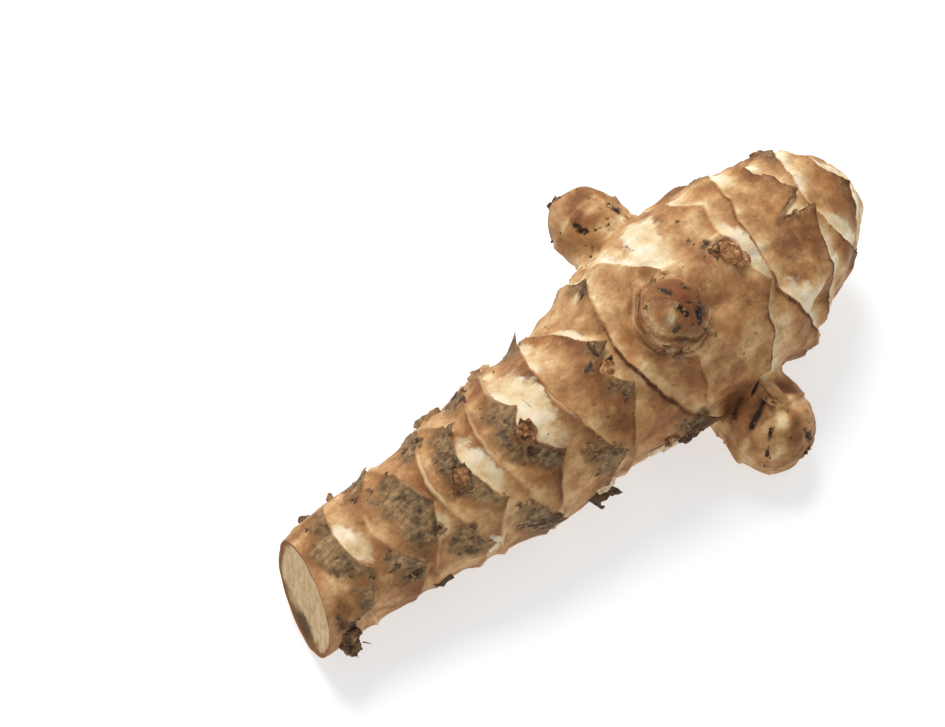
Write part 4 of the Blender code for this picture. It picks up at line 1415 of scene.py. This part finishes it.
print("bud scale nodes", len(tree.nodes))

# %% [markdown]
# ## Scraps of dry leaf
#
# Where a scale has torn, shreds of it stay behind: small ragged flakes that lift off the skin round
# each dry patch, a forked scrap on the near side, and a thin pale membrane under the broadest scale. Every
# one is a small sheet with a ragged far edge, curled and crumpled by noise and given the thickness of
# paper. The loose flakes are strewn by a seeded random choice among the places marked dry.

# %% Paper scraps
PAPER = 0.07
FLAKES = 230
FLAKE_SIZE = 1.7
FLAKE_CRUMPLE = 0.13
BUD_SHREDS = 10
SHRED_CRUMPLE = 0.18
choose = random.Random(11)
# Blender seeds its vector noise by the clock unless it is told not to.
noise.seed_set(11)


def crumple_at(point, size, seed):
    """A noise vector for a point in mm."""
    return noise.noise_vector(Vector(point) / size + Vector((seed * 3.7, seed, -seed)))


def add_sheet(sheet, start, end, out, up, lengths, curl, crumple, seed, shade, rows=5):
    """Adds a sheet that grows from the line start-end along out and curls towards up."""
    verts, faces, shades = sheet
    first = len(verts)
    columns = len(lengths)
    for j, length in enumerate(lengths):
        base = start.lerp(end, j / (columns - 1))
        for i in range(rows + 1):
            v = i / rows
            p = base + out * (length * v) + up * (curl * v * v - 0.12 * (1 - v))
            verts.append(p + crumple_at(p, 1.1, seed) * (crumple * (0.15 + v)))
            shades.append(min(max(shade + 0.25 * (v - 0.5), 0), 1))
    for j in range(columns - 1):
        for i in range(rows):
            low = first + j * (rows + 1) + i
            faces.append((low, low + rows + 1, low + rows + 2, low + 1))


def ragged_lengths(columns, longest, pointed, spread):
    """Lengths across a sheet: longest in the middle and uneven."""
    lengths = []
    for j in range(columns):
        arch = math.sin(math.pi * (j + 0.5) / columns) ** pointed
        lengths.append(longest * (0.25 + 0.75 * arch) * choose.uniform(1 - spread, 1 + spread))
    return lengths


def kept_mark(mesh, name):
    """One of a mesh's own numbers for each point."""
    values = np.zeros(len(mesh.vertices))
    mesh.attributes[name].data.foreach_get("value", values)
    return values


flake_points, flake_normals = vertex_arrays(skin.data)
dryness = kept_mark(skin.data, "dry")
likely = np.clip(1 - np.abs(dryness - 0.45) / 0.35, 0, 1)
spots = [i for i in range(len(likely)) if likely[i] > 0.05]
weights = [likely[i] for i in spots]
sheet = ([], [], [])
for number in range(FLAKES):
    i = choose.choices(spots, weights)[0]
    up = Vector(flake_normals[i])
    ahead = Vector((1.0, choose.uniform(-0.9, 0.9), choose.uniform(-0.9, 0.9)))
    out = (ahead - up * ahead.dot(up)).normalized()
    across = up.cross(out)
    size = choose.uniform(0.5, 1.0) ** 2 * FLAKE_SIZE
    seat = Vector(flake_points[i]) - up * 0.03
    add_sheet(
        sheet, seat - across * size * 0.5, seat + across * size * 0.5, out, up,
        ragged_lengths(6, size * choose.uniform(0.6, 1.3), 0.8, 0.35), size * choose.uniform(0.0, 0.20),
        FLAKE_CRUMPLE, number, 0.10 + 0.50 * choose.random(),
    )
for number, ((location, normal), (radius, high, pale, turn)) in enumerate(seats):
    for shred in range(round(BUD_SHREDS * (1 - pale))):
        a = 2 * math.pi * (shred + choose.uniform(-0.4, 0.4)) / BUD_SHREDS
        outward = normal.to_track_quat("Z", "Y").to_matrix() @ Vector((math.cos(a), math.sin(a), 0))
        across = normal.cross(outward)
        size = choose.uniform(0.4, 1.0)
        seat = skin_seat(location + outward * radius * choose.uniform(0.75, 1.0))[0]
        add_sheet(
            sheet, seat - across * size * 0.6, seat + across * size * 0.6,
            (outward * choose.uniform(-0.5, 1.0) + normal * 0.25).normalized(), normal,
            ragged_lengths(6, size, 0.8, 0.4), size * 0.25, SHRED_CRUMPLE, 300 + number,
            choose.uniform(0.0, 0.5),
        )
print("flakes", FLAKES, "and up to", BUD_SHREDS, "shreds round a bud")

# %% The larger scraps
# Ends of the line it grows from as angle and x, direction as along, round and outward shares, lengths,
# curl outward, crumple, shade from mould-dark 0 to straw 1.
LARGE_SCRAPS = [
    # The forked scrap: two prongs with a notch between them.
    ((104, -10.4), (106, -5.8), (0.62, 0.75, 0.25), [3.4, 3.7, 2.4, 1.6, 1.2, 1.0, 1.3, 2.2, 3.1, 2.8],
     1.1, 0.45, 0.15),
    # The cream foot of the scale it tore from.
    ((97, -8.8), (99, -4.8), (0.35, 0.85, 0.10), [1.0, 1.6, 2.1, 2.4, 2.2, 2.0, 1.4, 0.8], 0.3, 0.3, 1.0),
    # The thin membrane under the broad near scale, in two pieces.
    ((106, 1.6), (108, 7.0), (0.20, 0.95, 0.10), [0.6, 1.3, 1.7, 1.4, 1.9, 1.5, 1.7, 1.0, 1.2, 0.6],
     0.3, 0.35, 1.0),
    ((109, 5.6), (110, 9.2), (0.15, 0.95, 0.10), [0.9, 1.4, 1.0, 1.3, 0.8, 1.0, 0.5], 0.3, 0.35, 0.95),
    # Dark flaps under the same scale.
    ((94, 5.2), (97, 11.2), (0.45, 0.80, 0.30), [0.8, 1.7, 2.0, 2.4, 2.2, 2.8, 2.0, 1.2], 0.5, 0.45, 0.05),
    # Papery bits on the far side, which break the outline.
    ((-66, -47.0), (-64, -45.2), (0.0, -0.4, 0.9), [0.3, 0.8, 0.5, 0.2], 0.2, 0.2, 0.40),
    ((-62, -42.2), (-60, -41.2), (0.3, -0.4, 0.8), [0.2, 0.9, 0.4], 0.2, 0.2, 0.5),
    ((-66, -24.2), (-67, -20.6), (-0.1, -0.6, 0.6), [0.4, 1.0, 1.3, 0.9, 1.1, 0.7, 0.3], 0.4, 0.35, 0.50),
    ((-60, -22.6), (-62, -19.8), (0.4, -0.5, 0.5), [0.3, 0.8, 1.0, 0.7, 0.3], 0.4, 0.30, 0.55),
    ((-64, -13.6), (-65, -9.4), (-0.2, -0.6, 0.6), [0.5, 1.2, 0.9, 1.5, 1.2, 0.7, 0.3], 0.5, 0.35, 0.50),
    ((-58, -12.4), (-60, -9.8), (0.5, -0.5, 0.4), [0.4, 1.1, 1.4, 0.9, 0.4], 0.4, 0.30, 0.75),
    # Dark paper under the near side of the thin part.
    ((86, -20.6), (89, -18.0), (0.75, 0.55, 0.12), [0.4, 0.9, 1.2, 1.0, 0.4], 0.2, 0.25, 0.25),
    ((96, -36.2), (97, -33.2), (0.60, 0.70, 0.25), [0.6, 1.2, 1.0, 0.7], 0.3, 0.3, 0.1),
    # A split flake on the dark patch of the third scale, and shreds at the buds.
    ((42, -32.6), (52, -31.4), (0.85, 0.10, 0.20), [0.7, 1.2, 1.6, 1.2, 0.9], 0.3, 0.30, 0.7),
    ((2, -16.9), (10, -16.2), (0.80, -0.30, 0.30), [0.7, 1.1, 0.8, 1.0], 0.3, 0.3, 0.6),
    ((-12, -25.4), (-4, -25.0), (0.90, 0.10, 0.15), [0.6, 1.1, 0.8, 1.2, 0.7], 0.25, 0.30, 0.6),
    ((0, 1.2), (10, 1.0), (0.75, -0.50, 0.40), [0.7, 1.6, 1.1, 1.9, 0.9], 0.6, 0.35, 0.35),
    ((6, 23.6), (14, 23.4), (0.70, -0.40, 0.35), [0.6, 1.1, 0.8, 0.5], 0.3, 0.3, 0.35),
    # Grey bit on the far edge of the crown.
    ((-47, 46.4), (-45, 49.0), (0.2, -0.5, 0.7), [0.3, 0.6, 0.7, 0.4], 0.2, 0.3, 0.35),
]
for number, (first, last, lean, lengths, curl, crumple, shade) in enumerate(LARGE_SCRAPS):
    start, normal = body_seat(*first)
    end = body_seat(*last)[0]
    round_it = normal.cross(Vector((-1.0, 0.0, 0.0))).normalized()
    along_it = round_it.cross(normal)
    along_it *= -1 if along_it.x < 0 else 1
    round_it *= -1 if round_it.dot(body_seat(first[0] + 4, first[1])[0] - start) < 0 else 1
    out = (along_it * lean[0] + round_it * lean[1] + normal * lean[2]).normalized()
    finer = []
    for a, b in zip(lengths, lengths[1:]):
        finer += [a, (a + b) / 2 * choose.uniform(0.85, 1.15)]
    finer.append(lengths[-1])
    add_sheet(sheet, start, end, out, normal, finer, curl, crumple, 400 + number, shade, rows=9)
paper_scraps = mesh_piece("paper_scraps", [p * MM for p in sheet[0]], sheet[1])
keep_marks(paper_scraps.data, {"shade": np.array(sheet[2])})
thicken(paper_scraps, PAPER, 0.0)
print("paper scrap faces", len(paper_scraps.data.polygons))

# %% [markdown]
# ## Dry leaf
#
# A dead leaf scale is paper: thin, matte, and anything from straw to the grey-black of mould. Its
# shade is kept on each scrap, and a drawn-out noise adds the veins that run along it.

# %% Dry leaf material
dry_leaf, tree, place = new_material("dry_leaf")
drawn_out = add(tree, "Mapping", {"Vector": place, "Scale": (0.25, 1.0, 1.0)})
veins = add(tree, "TexNoise", {"Vector": drawn_out, "Scale": per_mm(0.35), "Detail": 4.0, "Roughness": 0.6})
blotch = add(tree, "TexNoise", {"Vector": place, "Scale": per_mm(1.2), "Detail": 5.0, "Roughness": 0.6})
shade = add(tree, "Attribute", attribute_name="shade").outputs["Fac"]
tone = summed(tree, -0.42, [(veins, 0.45), (blotch, 0.70), (shade, 0.66)])
leaf_tone = add(tree, "ValToRGB", {0: tone}, stops=[
    (0.10, "33251A"), (0.26, "553E2A"), (0.42, "7C5E40"),
    (0.58, "A17E57"), (0.74, "D0AC7C"), (0.90, "F0DDB8"),
])
ribs = add(tree, "Bump", {"Height": veins, "Distance": 0.12 * MM, "Strength": 0.7})
set_surface(tree, leaf_tone.outputs[0], ribs, {"Roughness": 0.78, "IOR": 1.45})
paper_scraps.data.materials.append(dry_leaf)
print("dry leaf nodes", len(tree.nodes))

# %% [markdown]
# ## Soil crumbs and rootlets
#
# A tuber is never washed quite clean. Crumbs of soil sit in the folds, thickest round the buds, and fine
# dead rootlets cling to the skin. A crumb is a small ico sphere made lumpy with noise. A rootlet is a
# thin tube whose path is pressed onto the skin step by step.

# %% Soil crumbs
CRUMBS = 300
SMALLEST_CRUMB = 0.08
CRUMB_SPREAD = 0.20
crumb_form = bmesh.new()
bmesh.ops.create_icosphere(crumb_form, subdivisions=2, radius=1.0)
crumb_unit = [vertex.co.copy() for vertex in crumb_form.verts]
crumb_faces = [tuple(vertex.index for vertex in face.verts) for face in crumb_form.faces]
crumb_form.free()
likely = kept_mark(skin.data, "soil") ** 2 + 0.04 * dryness + 0.0012
spots = list(range(len(likely)))
verts = []
faces = []
for number in range(CRUMBS):
    i = choose.choices(spots, likely)[0]
    size = SMALLEST_CRUMB + CRUMB_SPREAD * choose.random() ** 4
    squash = Vector((choose.uniform(0.7, 1.3), choose.uniform(0.7, 1.3), choose.uniform(0.6, 1.0)))
    seat = Vector(flake_points[i]) + Vector(flake_normals[i]) * size * 0.35
    start = len(verts)
    for p in crumb_unit:
        lumpy = 1 + 0.45 * noise.noise(p * 1.6 + Vector((number * 2.3, 0, 0)))
        verts.append((seat + Vector((p.x * squash.x, p.y * squash.y, p.z * squash.z)) * size * lumpy) * MM)
    faces += [tuple(start + k for k in face) for face in crumb_faces]
soil_crumbs = mesh_piece("soil_crumbs", verts, faces)
print("crumb faces", len(soil_crumbs.data.polygons))

# %% Rootlets
ROOTLETS = 20
ROOTLET_SIDES = 5
ROOTLET_STEP = 0.32
HANGING_THICKNESS = 0.26


def add_tube(verts, faces, path, thickness):
    """A tube along a path in mm that thins towards its end."""
    start = len(verts)
    for j, p in enumerate(path):
        ahead = (path[min(j + 1, len(path) - 1)] - path[max(j - 1, 0)]).normalized()
        turn = ahead.to_track_quat("Z", "Y").to_matrix()
        radius = thickness / 2 * (1 - 0.6 * j / (len(path) - 1))
        for i in range(ROOTLET_SIDES):
            a = 2 * math.pi * i / ROOTLET_SIDES
            verts.append((p + turn @ Vector((math.cos(a), math.sin(a), 0)) * radius) * MM)
    faces += grid_faces(start, len(path), ROOTLET_SIDES, True)
    faces.append(tuple(start + i for i in reversed(range(ROOTLET_SIDES))))
    end = start + (len(path) - 1) * ROOTLET_SIDES
    faces.append(tuple(end + i for i in range(ROOTLET_SIDES)))


verts = []
faces = []
for number in range(ROOTLETS):
    i = choose.randrange(len(flake_points))
    point = Vector(flake_points[i])
    heading = Vector((choose.uniform(-1, 1), choose.uniform(-1, 1), choose.uniform(-1, 1)))
    thickness = choose.uniform(0.07, 0.12)
    path = []
    for step in range(choose.randrange(4, 8)):
        location, normal = skin_seat(point)
        path.append(location + normal * thickness * 0.3)
        heading = (heading - normal * heading.dot(normal)).normalized()
        heading = (heading + 0.5 * crumple_at(point, 1.4, number)).normalized()
        point = location + heading * ROOTLET_STEP
    add_tube(verts, faces, path, thickness)
# Rootlets that hang free at the torn root, written as their paths.
HANGING = [
    [(-52.2, -9.0, 7.6), (-52.6, -9.6, 7.2), (-52.8, -10.0, 6.8)],
    [(-51.0, -9.0, 8.4), (-50.5, -9.6, 8.3), (-50.1, -9.9, 8.0)],
]
for path in HANGING:
    add_tube(verts, faces, [Vector(p) for p in path], HANGING_THICKNESS)
rootlets = mesh_piece("rootlets", verts, faces)
rootlets.data.shade_smooth()
print("rootlets", ROOTLETS + len(HANGING))

# %% [markdown]
# ## The torn root
#
# Beside the cut a dead root tore off and left a crumbly stub of bark and soil. Lumps along its
# length are fused by a voxel Remesh and roughened by noise at two sizes.

# %% Torn root
ROOT_LUMPS = [
    ((-52.6, -7.0, 10.4), 0.9), ((-52.4, -7.5, 9.4), 1.3), ((-52.6, -8.1, 8.4), 1.3),
    ((-52.9, -8.4, 7.5), 1.1), ((-51.7, -7.9, 8.4), 1.0), ((-51.1, -7.5, 9.4), 0.8),
    ((-53.4, -7.8, 7.8), 0.8), ((-51.9, -8.7, 7.5), 0.7), ((-53.0, -5.4, 8.0), 1.6),
]
STUB_GRAIN = 0.12
# Height and size in mm of the two noises that roughen it, and their seeds.
STUB_ROUGHNESS = [(0.55, 1.0, 8), (0.26, 0.35, 9)]
stub_form = bmesh.new()
for centre, radius in ROOT_LUMPS:
    bmesh.ops.create_icosphere(
        stub_form, subdivisions=3, radius=radius * MM, matrix=Matrix.Translation(Vector(centre) * MM)
    )
torn_root = piece_from("torn_root", stub_form)
fuse(torn_root, STUB_GRAIN)
apply_modifiers(torn_root)
stub_points, stub_normals = vertex_arrays(torn_root.data)
rough = sum(high * slow_noise(stub_points, size, seed) for high, size, seed in STUB_ROUGHNESS)
raise_mesh(torn_root.data, stub_points, stub_normals, rough)
print("torn root faces", len(torn_root.data.polygons))

# %% [markdown]
# ## Soil and root bark
#
# Dried loam is dark and completely matte. The root's bark has the same browns with more grey in it, so one
# crumb material serves both: a fine noise for grit and a coarse one for damp and dry places.

# %% Dried loam material
dried_loam, tree, place = new_material("dried_loam")
grit = add(tree, "TexNoise", {"Vector": place, "Scale": per_mm(0.3), "Detail": 3.0})
damp = add(tree, "TexNoise", {"Vector": place, "Scale": per_mm(1.6), "Detail": 4.0})
loam = add(tree, "ValToRGB", {0: summed(tree, -0.25, [(grit, 0.6), (damp, 0.9)])}, stops=[
    (0.26, "2A1D14"), (0.38, "4A3524"), (0.50, "6B4F37"), (0.62, "8B6B4A"), (0.80, "B29468"),
])
crumbly = add(tree, "Bump", {"Height": grit, "Distance": 0.12 * MM, "Strength": 0.8})
set_surface(tree, loam.outputs[0], crumbly, {"Roughness": 0.92, "IOR": 1.45})
for piece in (soil_crumbs, rootlets, torn_root):
    piece.data.materials.append(dried_loam)
print("dried loam nodes", len(tree.nodes))

# %% [markdown]
# ## Into the frame
#
# The forms were grown round their own axis. The frame's box says where the real solid lies, so every piece
# moves by the one shift that puts the skin's box on the frame's box. Each piece then rides on the
# only body, and the skin takes the plain solid's place.

# %% Place the pieces
pieces = [skin, leaf_edges, buds, paper_scraps, soil_crumbs, rootlets, torn_root]
corners = vertex_arrays(skin.data)[0]
skin_low = corners.min(axis=0)
skin_high = corners.max(axis=0)
box_low = np.array(cad_box[0]) / MM
box_high = np.array(cad_box[1]) / MM
shift = (box_low + box_high) / 2 - (skin_low + skin_high) / 2
shift[2] = box_low[2] - skin_low[2]
for piece in pieces:
    piece.data.transform(Matrix.Translation(Vector(shift * MM)))
    for vertex in piece.data.vertices:
        vertex.co.z = max(vertex.co.z, 0.0)
    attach(piece, "root")
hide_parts("tuber")
print("shift into the frame mm", [round(float(value), 2) for value in shift])

# %% [markdown]
# ## Floor, light and camera
#
# The tuber lies on white paper under soft studio light: one broad lamp high on the far side, which
# leaves a faint shadow on the near side, and a white room that fills it. A long lens from above and
# the near side shows the top of the tuber with little perspective.

# %% Floor
WHITE = (1.0, 1.0, 1.0, 1.0)
FLOOR_GLOW = 0.58
FLOOR_SIZE = 3.0
floor_form = bmesh.new()
bmesh.ops.create_grid(floor_form, x_segments=1, y_segments=1, size=FLOOR_SIZE)
floor = piece_from("floor", floor_form)
white_paper = bpy.data.materials.new("white_paper")
white_paper.use_nodes = True
set_values(white_paper.node_tree.nodes["Principled BSDF"], {
    "Base Color": linear("C0C6CC"), "Roughness": 0.9,
    "Emission Color": WHITE, "Emission Strength": FLOOR_GLOW,
})
floor.data.materials.append(white_paper)
print("floor is", white_paper.name)

# %% Light
LAMP_DIRECTION = Vector((0.22, 0.62, 1.0)).normalized()
LAMP_DISTANCE = 0.9
LAMP_SIZE = 0.5
LAMP_POWER = 6.5
LAMP_AIM = Vector((0, 0, 0.015))
ROOM_LIGHT = 0.46

lamp = bpy.data.lights.new("broad_lamp", "AREA")
lamp.shape = "DISK"
lamp.size = LAMP_SIZE
lamp.energy = LAMP_POWER
broad_lamp = new_piece("broad_lamp", lamp)
broad_lamp.location = LAMP_AIM + LAMP_DIRECTION * LAMP_DISTANCE
broad_lamp.rotation_euler = LAMP_DIRECTION.to_track_quat("Z", "Y").to_euler()
room = bpy.data.worlds.new("white_room")
room.use_nodes = True
set_values(room.node_tree.nodes["Background"], {"Color": WHITE, "Strength": ROOM_LIGHT})
bpy.context.scene.world = room
bpy.context.scene.view_settings.view_transform = "Standard"
print("lamp at m", [round(value, 2) for value in broad_lamp.location])

# %% Camera
AZIMUTH = math.radians(-40.6)
ELEVATION = math.radians(57.0)
CAMERA_DISTANCE = 484.6
LENS = 120.0
AIM = Vector((-10.0, 13.8, 16.5)) + Vector(shift)

camera_data = bpy.data.cameras.new("camera")
camera_data.lens = LENS
camera_data.clip_start = 0.01
camera = new_piece("camera", camera_data)
back = Vector((
    math.sin(AZIMUTH) * math.cos(ELEVATION), -math.cos(AZIMUTH) * math.cos(ELEVATION), math.sin(ELEVATION)
))
camera.location = (AIM + back * CAMERA_DISTANCE) * MM
camera.rotation_euler = back.to_track_quat("Z", "Y").to_euler()
bpy.context.scene.camera = camera
print("camera at mm", [round(value / MM) for value in camera.location])

# %% [markdown]
# ## The end

# %% Finish
bpy.context.view_layer.update()
